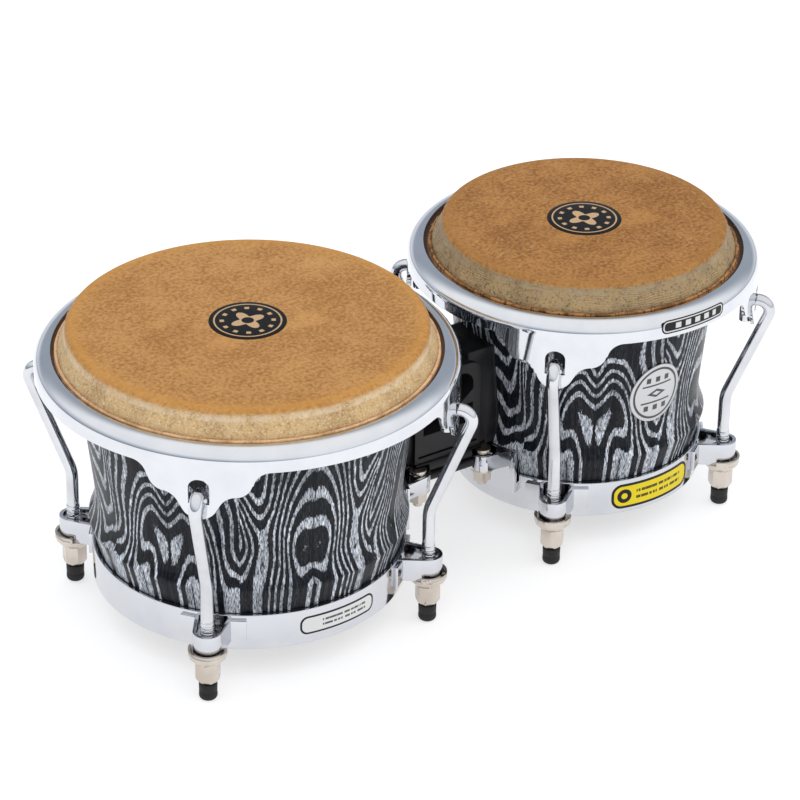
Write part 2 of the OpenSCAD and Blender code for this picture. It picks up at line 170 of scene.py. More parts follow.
class Graph:
    """A node tree with one method that adds any node."""

    def __init__(self, tree: bpy.types.NodeTree) -> None:
        """Takes the tree to build in."""
        self.tree = tree

    def node(self, kind: str, settings: dict | None = None, inputs: dict | None = None) -> bpy.types.Node:
        """Adds a node.

        Args:
            kind: the node's type name.
            settings: the node's own properties; "stops" gives a colour ramp's stops.
            inputs: values, sockets or numbers for its inputs, by place or name.

        Returns:
            The new node.
        """
        node = self.tree.nodes.new(kind)
        for key, value in (settings or {}).items():
            if key == "stops":
                self._set_stops(node.color_ramp, value)
            else:
                setattr(node, key, value)
        for key, value in (inputs or {}).items():
            socket = node.inputs[key]
            source = value.socket if isinstance(value, Num) else value
            if isinstance(source, bpy.types.NodeSocket):
                self.tree.links.new(source, socket)
            elif isinstance(source, tuple) and len(source) == 3 and len(socket.default_value) == 4:
                socket.default_value = (*source, 1.0)
            else:
                socket.default_value = source
        return node

    def num(self, kind: str, settings: dict | None = None, inputs: dict | None = None,
            output: int | str = 0) -> Num:
        """Adds a node and wraps one of its outputs.

        Args:
            kind: the node's type name.
            settings: the node's own properties.
            inputs: values or links of its inputs.
            output: which output to wrap.

        Returns:
            The wrapped output.
        """
        return Num(self, self.node(kind, settings, inputs).outputs[output])

    @staticmethod
    def _set_stops(ramp: bpy.types.ColorRamp, stops: Sequence[tuple[float, Colour]]) -> None:
        """Gives a colour ramp its stops, as pairs of place and colour."""
        while len(ramp.elements) < len(stops):
            ramp.elements.new(0.5)
        for element, (place, colour) in zip(ramp.elements, stops):
            element.position = place
            element.color = (*colour, 1.0)


class Shader(Graph):
    """A material under construction."""

    def __init__(self, name: str) -> None:
        """Starts a material with one Principled surface."""
        self.material = bpy.data.materials.new(name)
        self.material.use_nodes = True
        super().__init__(self.material.node_tree)
        self.surface = self.tree.nodes["Principled BSDF"]

    def place(self, scale: Sequence[float] = (1, 1, 1), origin: Sequence[float] = (0, 0, 0)) -> Num:
        """Object coordinates, moved and scaled.

        Args:
            scale: the scale along each axis.
            origin: the point that becomes the pattern's centre, in metres.

        Returns:
            The coordinates as a vector.
        """
        where = self.num("ShaderNodeTexCoord", output="Object")
        shift = tuple(-o * s for o, s in zip(origin, scale))
        values = {"Vector": where, "Location": shift, "Scale": tuple(scale)}
        return self.num("ShaderNodeMapping", inputs=values)

    def split(self, vector: Num) -> tuple[Num, Num, Num]:
        """The three parts of a vector."""
        node = self.node("ShaderNodeSeparateXYZ", inputs={0: vector})
        return Num(self, node.outputs[0]), Num(self, node.outputs[1]), Num(self, node.outputs[2])

    def join(self, x: Any, y: Any, z: Any = 0.0) -> Num:
        """A vector from three parts."""
        return self.num("ShaderNodeCombineXYZ", inputs={0: x, 1: y, 2: z})

    def wrapped(self) -> tuple[Num, Num]:
        """The piece's own map: length round it and height, in metres."""
        u, v, _ = self.split(self.num("ShaderNodeUVMap", {"uv_map": "wrap"}))
        return u, v

    def zone(self, name: str) -> Num:
        """A number that the mesh carries at its points."""
        return self.num("ShaderNodeAttribute", {"attribute_name": name}, output="Fac")

    def noise(self, where: Num, scale: float, detail: float = 3.0, rough: float = 0.55,
              bend: float = 0.0) -> Num:
        """Cloudy noise.

        Args:
            where: the coordinates that it reads.
            scale: features per metre.
            detail: how many finer layers it has.
            rough: how strong the finer layers are.
            bend: how much it twists itself.

        Returns:
            A number round one half.
        """
        values = {"Vector": where, "Scale": scale, "Detail": detail, "Roughness": rough, "Distortion": bend}
        return self.num("ShaderNodeTexNoise", inputs=values)

    def cells(self, where: Num, scale: float) -> Num:
        """Distance to the nearest of many scattered points, in cells."""
        return self.num("ShaderNodeTexVoronoi", inputs={"Vector": where, "Scale": scale})

    def mix(self, a: Any, b: Any, amount: Any) -> Num:
        """Mixes two colours.

        Args:
            a: the colour where the amount is 0.
            b: the colour where the amount is 1.
            amount: how much of the second colour there is.

        Returns:
            The mixed colour.
        """
        node = self.node("ShaderNodeMix", {"data_type": "RGBA"}, {0: amount, 6: a, 7: b})
        return Num(self, node.outputs[2])

    def bump(self, height: Num, depth: float, strength: float = 1.0, under: Num | None = None) -> Num:
        """Turns a height into a surface normal.

        Args:
            height: the height, from 0 to 1.
            depth: what a height of 1 stands for, in metres.
            strength: how strongly it shows.
            under: another bump to lie on.

        Returns:
            The normal.
        """
        values = {"Strength": strength, "Distance": depth, "Height": height}
        if under is not None:
            values["Normal"] = under
        return self.num("ShaderNodeBump", inputs=values)

    def finish(self, **sockets: Any) -> bpy.types.Material:
        """Sets the surface and returns the material.

        Args:
            sockets: values or links by the surface's socket name, with _ for a space.

        Returns:
            The finished material.
        """
        for key, value in sockets.items():
            socket = self.surface.inputs[key.replace("_", " ")]
            if isinstance(value, Num):
                self.tree.links.new(value.socket, socket)
            elif isinstance(value, tuple) and len(value) == 3:
                socket.default_value = (*value, 1.0)
            else:
                socket.default_value = value
        return self.material


# -------------------------------------------------------------------- finishes


@dataclass(frozen=True)
class PlateFinish:
    """Bright or satin metal plate."""

    name: str
    tint: Colour
    shade: Colour
    roughness: float
    haze: float = 0.03
    ripple: float = 0.00002

    def make(self) -> bpy.types.Material:
        """Builds the material.

        Returns:
            A metal with faint clouding and a slightly uneven surface.
        """
        s = Shader(self.name)
        where = s.place()
        cloud = s.noise(where, 35.0, 3.0)
        fine = s.noise(where, 900.0, 2.0)
        colour = s.mix(self.shade, self.tint, cloud.step(0.3, 0.62))
        wear = s.noise(where, 260.0, 4.0, 0.7).step(0.5, 0.75)
        rough = self.roughness + self.haze * wear + 0.3 * self.haze * fine
        normal = s.bump(s.noise(where, 60.0, 1.0), self.ripple, 0.5)
        return s.finish(Base_Color=colour, Metallic=1.0, Roughness=rough, Normal=normal)


@dataclass(frozen=True)
class VeneerFinish:
    """Black lacquer over a book-matched grey veneer with contour-like figure."""

    name: str
    crease: float
    first_seam: float
    panel: float = 48.0 * MM
    black: Colour = (0.002, 0.003, 0.006)
    silver: Colour = (0.83, 0.88, 0.96)

    def make(self) -> bpy.types.Material:
        """Builds the material.

        Returns:
            A lacquered veneer that reads the piece's own map.
        """
        s = Shader(self.name)
        u, v = s.wrapped()
        turned = (u - self.first_seam) / (2 * self.panel)
        pair = turned.math("FLOOR")
        across = ((turned - pair - 0.5).math("ABSOLUTE")) * (2 * self.panel)
        high = v.above(self.crease)
        lower = v.step(self.crease + 0.6 * MM, self.crease - 0.4 * MM)
        wobble = s.noise(s.join(across * 1.0, high * 0.7, pair * 0.713), 30.0, 2.0, 0.5)
        figure = s.noise(s.join(across * 1.15, high * 0.42, pair * 0.371), 22.0, 0.7, 0.4, 0.2)
        rings = (figure * 132.0 + wobble * 6.0 + pair * 1.7).math("SINE")
        edge = s.noise(s.join(u, high * 0.22, 0.0), 1500.0, 2.0, 0.6) - 0.5
        band = (rings + edge * 2.2).step(0.28, 0.54)
        fleck = s.noise(s.join(u, v * 0.13, 0.3), 1700.0, 2.0, 0.75).step(0.42, 0.56)
        streak = s.noise(s.join(u, v * 0.06, 0.9), 420.0, 3.0, 0.6).step(0.3, 0.66)
        patch = s.noise(s.join(u, v, 0.2), 24.0, 2.0).step(0.3, 0.62)
        light = band * (0.16 + 0.84 * fleck) * (0.5 + 0.5 * streak) * (0.68 + 0.32 * patch)
        light = light * (1 - 0.15 * lower) + 0.03 * fleck * streak
        seam = (across - 0.0002).math("ABSOLUTE").step(0.0007, 0.0002)
        colour = s.mix(self.black, self.silver, light * (1 - 0.7 * seam))
        normal = s.bump(s.noise(s.join(u, v * 0.5, 0.0), 60.0, 1.0), 0.00005, 0.35)
        return s.finish(Base_Color=colour, Roughness=0.4, Normal=normal, Specular_IOR_Level=0.05,
                        Coat_Weight=0.22, Coat_Roughness=0.07, Coat_IOR=1.5)


@dataclass(frozen=True)
class HideFinish:
    """Natural drum hide: mottled on top, warmer at the fold, pale or wrinkled below, with painted shade in
    its creases and on the roll under the rim, and a painted highlight band and glints on the side wall.
    """

    name: str
    centre: Sequence[float]
    top: Colour
    top_dark: Colour
    fold: Colour
    wall: Colour
    wall_dark: Colour
    roll: Colour
    roll_dark: Colour
    # pale colour of the painted highlights: the glints and the band at the top of the side wall
    edge: Colour
    # colour of the painted shade on the roll under the rim and in the roll's creases
    painted_shade: Colour
    mark: Colour
    wrinkle: float
    scratch: float

    def make(self) -> bpy.types.Material:
        """Builds the material.

        Returns:
            A matt hide that reads the zones its mesh carries.
        """
        s = Shader(self.name)
        where = s.place((1, 1, 1), self.centre)
        x, y, z = s.split(where)
        big = s.noise(where, 13.0, 5.0, 0.62, 0.4)
        mid = s.noise(where, 48.0, 5.0, 0.65)
        fine = s.noise(where, 420.0, 3.0, 0.6)
        pores = s.cells(where, 900.0)
        blotch = (0.24 * big + 0.3 * mid + 0.66 * fine).step(0.48, 0.74)
        colour = s.mix(self.top, self.top_dark, blotch)
        pale = s.noise(where, 31.0, 3.0, 0.6).step(0.56, 0.72)
        colour = s.mix(colour, tuple(min(1.0, c * 1.2) for c in self.top), 0.4 * pale)
        dots = pores.step(0.26, 0.1) * s.noise(where, 70.0).step(0.46, 0.62)
        colour = s.mix(colour, self.top_dark, 0.35 * dots)
        lines = s.noise(s.join(x * 0.14 + y * 0.1, y * 1.0 - x * 0.5, z), 700.0, 2.0, 0.5)
        marks = lines.step(0.63, 0.7) * s.noise(where, 22.0).step(0.46, 0.6)
        colour = s.mix(colour, self.mark, self.scratch * marks)
        warm = s.zone("fold") * (0.75 + 0.5 * (mid - 0.5))
        colour = s.mix(colour, self.fold, warm)
        grit = s.noise(where, 650.0, 3.0, 0.7)
        specks = grit.step(0.5, 0.66)
        grey = s.noise(s.join(x, y, z * 0.45), 62.0, 4.0, 0.6).step(0.42, 0.66)
        side = s.mix(self.wall, self.wall_dark, (0.45 * grey + 0.75 * specks).below(1.0))
        down = s.zone("wall")
        broken = s.noise(s.join(x, y, z * 0.6), 110.0, 4.0, 0.7).step(0.38, 0.62)
        glints = s.noise(where, 820.0, 2.0, 0.6).step(0.54, 0.66)
        side = s.mix(side, self.edge, 0.55 * glints)
        # painted shade: thin dark lines across the lower side wall, where its wrinkles fall into shade,
        # stronger with the wrinkle strength
        painted_wrinkle_shade = (z * 5200.0 + s.noise(where, 34.0, 2.0) * 30.0).math("SINE").step(0.55, 0.95)
        painted_wrinkle_shade = painted_wrinkle_shade * down.step(0.6, 0.85) * s.noise(where, 26.0).step(0.42, 0.56)
        side = s.mix(side, self.wall_dark, self.wrinkle * 0.8 * painted_wrinkle_shade)
        # painted highlight: a pale, broken band at the top of the side wall, where the skin turns over the
        # fold
        painted_highlight_band = down.step(0.7, 0.88) * down.step(1.02, 0.92) * (0.12 + 0.5 * broken)
        side = s.mix(side, self.edge, painted_highlight_band)
        colour = s.mix(colour, side, (down + 0.25 * (mid - 0.5)).step(0.5, 0.95))
        piped = s.mix(self.roll, self.roll_dark, s.noise(where, 90.0, 4.0, 0.6).step(0.42, 0.68))
        # painted shade: thin dark lines in the creases of the ragged roll, stronger with the wrinkle
        # strength
        painted_crease_shade = (s.noise(s.join(x, y, 0.0), 210.0, 1.0) - 0.5).math("ABSOLUTE").step(0.035, 0.012)
        piped = s.mix(piped, self.painted_shade, 0.8 * self.wrinkle * painted_crease_shade)
        round_ = s.zone("roll")
        colour = s.mix(colour, piped, round_.step(0.1, 0.35))
        # painted shade: the roll tucked under the rim's shoulder is turned almost black
        colour = s.mix(colour, self.painted_shade, round_.step(0.55, 0.95))
        creases = s.noise(s.join(x, y, z * 2.6), 120.0, 4.0, 0.65, 0.8)
        normal = s.bump(creases * s.zone("wall"), 0.0016 * self.wrinkle, 0.7)
        normal = s.bump(mid, 0.00035, 0.45, normal)
        normal = s.bump(fine + 0.6 * pores.step(0.3, 0.1), 0.00006, 0.6, normal)
        rough = 0.5 + 0.14 * blotch
        return s.finish(Base_Color=colour, Roughness=rough, Normal=normal, Specular_IOR_Level=0.3)


@dataclass(frozen=True)
class MouldedFinish:
    """Moulded plastic or rubber with a fine grain."""

    name: str
    tint: Colour
    dust: Colour
    roughness: float
    grain: float
    depth: float = 0.00004

    def make(self) -> bpy.types.Material:
        """Builds the material.

        Returns:
            A grained, slightly uneven plastic.
        """
        s = Shader(self.name)
        where = s.place()
        cloud = s.noise(where, 40.0, 4.0, 0.6)
        grit = s.noise(where, self.grain, 3.0, 0.65)
        colour = s.mix(self.tint, self.dust, 0.35 * cloud.step(0.35, 0.7) + 0.3 * grit.step(0.55, 0.75))
        rough = self.roughness + 0.1 * (grit - 0.5)
        normal = s.bump(grit, self.depth, 0.7)
        return s.finish(Base_Color=colour, Roughness=rough, Normal=normal, Specular_IOR_Level=0.3)


@dataclass(frozen=True)
class BadgeFinish:
    """A round black sticker with a plain ring, dots and a four-petal rosette."""

    name: str
    centre: Sequence[float]
    radius: float
    black: Colour = (0.006, 0.006, 0.006)
    tan: Colour = (0.55, 0.36, 0.2)

    def make(self) -> bpy.types.Material:
        """Builds the material.

        Returns:
            A printed disc, drawn round its own centre.
        """
        s = Shader(self.name)
        x, y, _ = s.split(s.place((1, 1, 1), self.centre))
        r = ((x * x + y * y) ** 0.5) / self.radius
        ring = (r - 0.86).math("ABSOLUTE").step(0.028, 0.014)
        angle = y.math("ARCTAN2", x)
        petals = (angle * 4.0).math("COSINE")
        star = (r - 0.34 - 0.13 * petals).step(0.012, -0.012)
        hole = (r - 0.16).step(-0.01, 0.012)
        dots = (angle * 12.0).math("COSINE").step(0.3, 0.6)
        dots = dots * (r - 0.66).math("ABSOLUTE").step(0.07, 0.04)
        print_ = (ring + star * hole + dots).below(1.0)
        worn = s.noise(s.place(), 1400.0, 3.0, 0.7).step(0.3, 0.5)
        colour = s.mix(self.black, self.tan, print_ * (0.55 + 0.45 * worn))
        normal = s.bump(s.noise(s.place(), 120.0, 2.0), 0.0001, 0.4)
        return s.finish(Base_Color=colour, Roughness=0.42, Normal=normal, Specular_IOR_Level=0.15)


@dataclass(frozen=True)
class EngravedPlateFinish:
    """A satin plate with a plain engraved border, rules and a lozenge."""

    name: str
    centre: Sequence[float]
    half_w: float
    half_h: float
    bright: Colour = (0.60, 0.60, 0.61)
    dark: Colour = (0.07, 0.07, 0.075)

    def make(self) -> bpy.types.Material:
        """Builds the material.

        Returns:
            A metal plate whose marks are drawn across its front.
        """
        s = Shader(self.name)
        scale = (1 / self.half_w, 1.0, 1 / self.half_h)
        x, _, z = s.split(s.place(scale, self.centre))
        r = (x * x + z * z) ** 0.5
        border = (r - 0.86).math("ABSOLUTE").step(0.045, 0.03)
        inside = (r - 0.74).step(0.02, -0.02)
        ax = x.math("ABSOLUTE")
        az = z.math("ABSOLUTE")
        rules = ((az - 0.3).math("ABSOLUTE").step(0.034, 0.02)) * ax.step(0.6, 0.57)
        slant = ax * 0.75 + az * 1.9
        lozenge = (slant - 0.3).step(0.0, -0.03) * (slant - 0.13).step(-0.01, 0.02)
        bars = ((x * 17.0).math("COSINE")).step(-0.1, 0.2) * (az - 0.5).math("ABSOLUTE").step(0.1, 0.08)
        bars = bars * ax.step(0.46, 0.44)
        marks = (border + inside * (rules + lozenge + bars)).below(1.0)
        brushed = s.noise(s.join(x * 0.06, z * 1.0, 0.0), 90.0, 3.0, 0.6)
        colour = s.mix(self.bright, self.dark, marks)
        normal = s.bump(1 - marks, 0.00025, 0.7)
        rough = 0.3 + 0.16 * brushed
        return s.finish(Base_Color=colour, Roughness=rough, Metallic=0.9 - 0.5 * marks, Normal=normal)


@dataclass(frozen=True)
class LabelFinish:
    """A stuck-on label, drawn on its own map."""

    name: str
    style: LabelStyle
    half_w: float
    half_h: float

    def _box(self, s: Shader, u: Num, v: Num, half_w: float, half_h: float, corner: float) -> Num:
        """Distance outside a rounded box.

        Args:
            s: the material.
            u: place along the label.
            v: place up the label.
            half_w: half the box's width.
            half_h: half its height.
            corner: its corner radius.

        Returns:
            The distance, negative inside.
        """
        dx = (u.math("ABSOLUTE") - (half_w - corner)).above(0.0)
        dy = (v.math("ABSOLUTE") - (half_h - corner)).above(0.0)
        return (dx * dx + dy * dy) ** 0.5 - corner

    def make(self) -> bpy.types.Material:
        """Builds the material.

        Returns:
            A printed label with plain shapes and no lettering.
        """
        s = Shader(self.name)
        u, v = s.wrapped()
        black, white, yellow = (0.008, 0.008, 0.009), (0.66, 0.66, 0.65), (0.74, 0.58, 0.01)
        soft = 0.00012
        w, h = self.half_w, self.half_h
        edge = self._box(s, u, v, w - 0.0002, h - 0.0002, h * 0.8)
        if self.style is LabelStyle.BAND:
            bars = (u * 900.0).math("SINE").step(-0.35, 0.1)
            bars = bars * v.math("ABSOLUTE").step(h * 0.42, h * 0.36)
            bars = bars * u.math("ABSOLUTE").step(w * 0.72, w * 0.7)
            rim = (edge + 0.0011).math("ABSOLUTE").step(0.0005, 0.0003)
            colour = s.mix(black, white, (bars + rim).below(1.0))
        else:
            ground = yellow if self.style is LabelStyle.SUNNY else white
            line = 0.0011 if self.style is LabelStyle.SUNNY else 0.0006
            inner = (edge + line + 0.0004).step(soft, -soft)
            colour = s.mix(black, ground, inner)
            disc_u = -w * 0.72
            reach = ((u - disc_u) * (u - disc_u) + v * v) ** 0.5
            disc = (reach - h * 0.56).step(soft, -soft)
            if self.style is LabelStyle.SUNNY:
                colour = s.mix(colour, black, disc)
                dot = (reach - h * 0.24).step(soft, -soft)
                colour = s.mix(colour, yellow, dot)
            shift = w * 0.14
            rows = (v.math("ABSOLUTE") - h * 0.26).math("ABSOLUTE").step(h * 0.13, h * 0.1)
            within = (u - shift).math("ABSOLUTE").step(w * 0.6, w * 0.59)
            ticks = s.noise(s.join(u, v.math("SIGN") * 0.01, 0.0), 620.0, 1.0).step(0.42, 0.46)
            colour = s.mix(colour, black, rows * within * ticks * 0.9)
        tone = s.noise(s.join(u, v, 0.0), 300.0, 3.0)
        normal = s.bump(tone, 0.00003, 0.4)
        return s.finish(Base_Color=colour, Roughness=0.36 + 0.1 * tone, Normal=normal,
                        Specular_IOR_Level=0.25)


@dataclass(frozen=True)
class FloorFinish:
    """A plain, almost white studio floor."""

    name: str = "studio floor"
    tint: Colour = (0.52, 0.52, 0.525)
    glow: float = 0.6

    def make(self) -> bpy.types.Material:
        """Builds the material.

        Returns:
            A matt pale surface that glows a little, as a lit table does.
        """
        s = Shader(self.name)
        tone = s.noise(s.place(), 6.0, 2.0)
        colour = s.mix(self.tint, tuple(min(1.0, c + 0.01) for c in self.tint), tone)
        return s.finish(Base_Color=colour, Roughness=0.75, Specular_IOR_Level=0.15,
                        Emission_Color=(1.0, 1.0, 1.0), Emission_Strength=self.glow)


class Finishes:
    """Every material of the pair, made once."""

    def __init__(self) -> None:
        """Makes the materials that do not depend on a drum's place."""
        self.chrome = PlateFinish("chrome plate", tint=(0.74, 0.755, 0.785), shade=(0.69, 0.71, 0.745),
                                  roughness=0.05, haze=0.02).make()
        self.ring = PlateFinish("ring chrome", tint=(0.64, 0.65, 0.685), shade=(0.59, 0.605, 0.64),
                                roughness=0.09, haze=0.03).make()
        self.rod = PlateFinish("rod chrome", tint=(0.70, 0.71, 0.735), shade=(0.60, 0.61, 0.64),
                               roughness=0.09, haze=0.04).make()
        self.nickel = PlateFinish("satin nickel", tint=(0.66, 0.595, 0.53), shade=(0.55, 0.485, 0.42),
                                  roughness=0.2, haze=0.07).make()
        self.zinc = PlateFinish("grey zinc", tint=(0.5, 0.5, 0.51), shade=(0.38, 0.38, 0.4),
                                roughness=0.32, haze=0.08).make()
        self.rubber = MouldedFinish("black rubber", tint=(0.012, 0.012, 0.012), dust=(0.03, 0.03, 0.03),
                                    roughness=0.6, grain=900.0).make()
        self.plastic = MouldedFinish("moulded black plastic", tint=(0.009, 0.009, 0.010),
                                     dust=(0.024, 0.024, 0.026), roughness=0.36, grain=1500.0).make()


# ---------------------------------------------------------------------- meshes


def new_object(name: str, mesh: bpy.types.Mesh, material: bpy.types.Material) -> bpy.types.Object:
    """Puts a mesh in the scene.

    Args:
        name: the piece's name.
        mesh: its mesh, in the frame of the CAD.
        material: what it is made of.

    Returns:
        The object, at the origin.
    """
    obj = bpy.data.objects.new(name, mesh)
    bpy.context.scene.collection.objects.link(obj)
    mesh.materials.clear()
    mesh.materials.append(material)
    return obj


def smooth(mesh: bpy.types.Mesh, angle: float = 32.0) -> None:
    """Shades a mesh smooth, with its corners sharper than an angle left crisp."""
    mesh.shade_smooth()
    mesh.set_sharp_from_angle(angle=math.radians(angle))


def tidy(mesh: bpy.types.Mesh, outward: bool = True) -> None:
    """Merges doubled points and turns the faces outward.

    Args:
        mesh: the mesh to clean.
        outward: whether the normals are worked out again.
    """
    bm = bmesh.new()
    bm.from_mesh(mesh)
    bmesh.ops.remove_doubles(bm, verts=bm.verts, dist=1e-7)
    bmesh.ops.dissolve_degenerate(bm, edges=bm.edges, dist=1e-8)
    if outward:
        bmesh.ops.recalc_face_normals(bm, faces=bm.faces)
    bm.to_mesh(mesh)
    bm.free()


def grid_mesh(name: str, points: np.ndarray, wrap_rows: bool, holes: np.ndarray | None = None,
              rounds: np.ndarray | None = None,
              zones: dict[str, np.ndarray] | None = None) -> bpy.types.Mesh:
    """Joins a grid of points into quads, closed round its columns.

    Args:
        name: the mesh's name.
        points: rows by columns by three.
        wrap_rows: whether the last row joins the first.
        holes: where True, the quad up and to the right of a point is left out.
        rounds: length round the piece at each column and after the last, for its map.
        zones: numbers per row, or per point, that the mesh carries for its finish.

    Returns:
        The mesh.
    """
    rows, cols = points.shape[:2]
    last = rows if wrap_rows else rows - 1
    quads, corners = [], []
    for i in range(last):
        j = (i + 1) % rows
        for c in range(cols):
            if holes is not None and holes[i, c]:
                continue
            d = (c + 1) % cols
            quads.append((i * cols + c, i * cols + d, j * cols + d, j * cols + c))
            corners.append((c, i, c + 1, j))
    mesh = bpy.data.meshes.new(name)
    mesh.from_pydata(points.reshape(-1, 3).tolist(), [], quads)
    if rounds is not None:
        layer = mesh.uv_layers.new(name="wrap")
        values = []
        for c, i, d, j in corners:
            low, high = points[i, c % cols, 2], points[j, c % cols, 2]
            values += [rounds[c], low, rounds[d], low, rounds[d], high, rounds[c], high]
        layer.data.foreach_set("uv", np.array(values, dtype=np.float32))
    for key, per in (zones or {}).items():
        full = per if per.ndim == 2 else np.repeat(per[:, None], cols, axis=1)
        carried = mesh.attributes.new(key, "FLOAT", "POINT")
        carried.data.foreach_set("value", full.reshape(-1).astype(np.float32))
    mesh.update()
    return mesh


def turned(name: str, profile: Sequence[Point], axis_x: float, material: bpy.types.Material,
           segments: int = 192, mapped: bool = False, angle: float = 32.0) -> bpy.types.Object:
    """Turns a closed outline round an upright axis.

    Args:
        name: the piece's name.
        profile: pairs of radius and height, in metres, round the outline.
        axis_x: where the axis stands.
        material: what the piece is made of.
        segments: how many steps there are round the axis.
        mapped: whether the piece gets a map of length round it and height.
        angle: edges sharper than this stay crisp.

    Returns:
        The piece.
    """
    turn = np.linspace(0, 2 * math.pi, segments, endpoint=False)
    outline = np.array(profile)
    points = np.zeros((len(outline), segments, 3))
    points[..., 0] = axis_x + outline[:, 0][:, None] * np.cos(turn)
    points[..., 1] = outline[:, 0][:, None] * np.sin(turn)
    points[..., 2] = outline[:, 1][:, None]
    rounds = np.linspace(0, 2 * math.pi * outline[:, 0].max(), segments + 1) if mapped else None
    mesh = grid_mesh(name, points, True, rounds=rounds)
    tidy(mesh)
    smooth(mesh, angle)
    return new_object(name, mesh, material)


def arc(radius: float, start: float, end: float, steps: int, centre: Point) -> list[Point]:
    """Points of an arc.

    Args:
        radius: its radius.
        start: the angle it starts at, in degrees.
        end: the angle it ends at.
        steps: how many steps it takes.
        centre: its centre.

    Returns:
        The points, both ends included.
    """
    angles = [math.radians(start + (end - start) * i / steps) for i in range(steps + 1)]
    return [(centre[0] + radius * math.cos(a), centre[1] + radius * math.sin(a)) for a in angles]


def with_modifiers(obj: bpy.types.Object) -> bpy.types.Object:
    """Fixes an object's modifiers into its mesh.

    Args:
        obj: the object.

    Returns:
        The same object, with a plain mesh and no modifiers.
    """
    graph = bpy.context.evaluated_depsgraph_get()
    mesh = bpy.data.meshes.new_from_object(
        obj.evaluated_get(graph), preserve_all_data_layers=True, depsgraph=graph)
    obj.modifiers.clear()
    old = obj.data
    obj.data = mesh
    bpy.data.meshes.remove(old)
    mesh.name = obj.name
    return obj


def polished_copy(node: str, name: str, material: bpy.types.Material, edge: float,
                  flat: float = 2.0, segments: int = 2) -> bpy.types.Object:
    """Copies a CAD node and rounds its edges, as pressing and plating leave them.

    Args:
        node: the CAD node to copy.
        name: the new piece's name.
        material: what it is made of.
        edge: the width of its rounded edges.
        flat: faces within this angle are joined, in degrees.
        segments: how many steps a rounded edge has.

    Returns:
        The new piece.
    """
    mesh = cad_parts[node].data.copy()
    mesh.name = name
    bm = bmesh.new()
    bm.from_mesh(mesh)
    bmesh.ops.remove_doubles(bm, verts=bm.verts, dist=2e-6)
    bmesh.ops.dissolve_limit(bm, angle_limit=math.radians(flat), verts=bm.verts, edges=bm.edges)
    bm.to_mesh(mesh)
    bm.free()
    obj = new_object(name, mesh, material)
    bevel = obj.modifiers.new("edges", "BEVEL")
    bevel.width = edge
    bevel.segments = segments
    bevel.limit_method = "ANGLE"
    bevel.angle_limit = math.radians(38)
    bevel.use_clamp_overlap = True
    with_modifiers(obj)
    smooth(obj.data, 36.0)
    return obj


# ------------------------------------------------------------- geometry recipes


class Recipe(Graph):
    """A geometry node tree with named sizes, used as a modifier and then fixed."""

    def __init__(self, name: str, sizes: dict[str, str]) -> None:
        """Starts a tree.

        Args:
            name: the tree's name.
            sizes: the named inputs and their socket types.
        """
        super().__init__(bpy.data.node_groups.new(name, "GeometryNodeTree"))
        face = self.tree.interface
        face.new_socket(name="Geometry", in_out="INPUT", socket_type="NodeSocketGeometry")
        for label, kind in sizes.items():
            face.new_socket(name=label, in_out="INPUT", socket_type=kind)
        face.new_socket(name="Geometry", in_out="OUTPUT", socket_type="NodeSocketGeometry")
        self.given = self.node("NodeGroupInput")

    def size(self, label: str) -> Num:
        """One of the tree's named inputs."""
        return Num(self, self.given.outputs[label])

    def close(self, geometry: Num) -> None:
        """Ends the tree with realized instances and the finish."""
        real = self.num("GeometryNodeRealizeInstances", inputs={0: geometry})
        done = self.num("GeometryNodeSetMaterial", inputs={0: real, "Material": self.size("Finish")})
        self.node("NodeGroupOutput", inputs={0: done})

    def cook(self, obj: bpy.types.Object, values: dict[str, Any]) -> bpy.types.Object:
        """Runs the tree on an object and keeps the result as a plain mesh.

        Args:
            obj: the object whose mesh goes in.
            values: the named inputs.

        Returns:
            The same object with its new mesh.
        """
        modifier = obj.modifiers.new(self.tree.name, "NODES")
        modifier.node_group = self.tree
        for item in self.tree.interface.items_tree:
            if item.in_out == "INPUT" and item.name in values:
                modifier[item.identifier] = values[item.name]
        return with_modifiers(obj)


def round_recipe() -> Recipe:
    """A tree that repeats a piece evenly round a drum's axis.

    Returns:
        The tree, with its copies, first angle, axis and finish as inputs.
    """
    sizes = {"Copies": "NodeSocketInt", "First angle": "NodeSocketFloat", "Axis x": "NodeSocketFloat",
             "Finish": "NodeSocketMaterial"}
    r = Recipe("repeat round a drum", sizes)
    copies = r.size("Copies")
    spot = r.num("ShaderNodeCombineXYZ", inputs={0: r.size("Axis x")})
    points = r.num("GeometryNodePoints", inputs={0: copies, 1: spot})
    step = 2 * math.pi / copies
    angle = r.num("GeometryNodeInputIndex") * step + r.size("First angle")
    about = r.num("ShaderNodeCombineXYZ", inputs={2: angle})
    turn = r.num("FunctionNodeEulerToRotation", inputs={0: about})
    values = {"Points": points, "Instance": r.size("Geometry"), "Rotation": turn}
    r.close(r.num("GeometryNodeInstanceOnPoints", inputs=values))
    return r


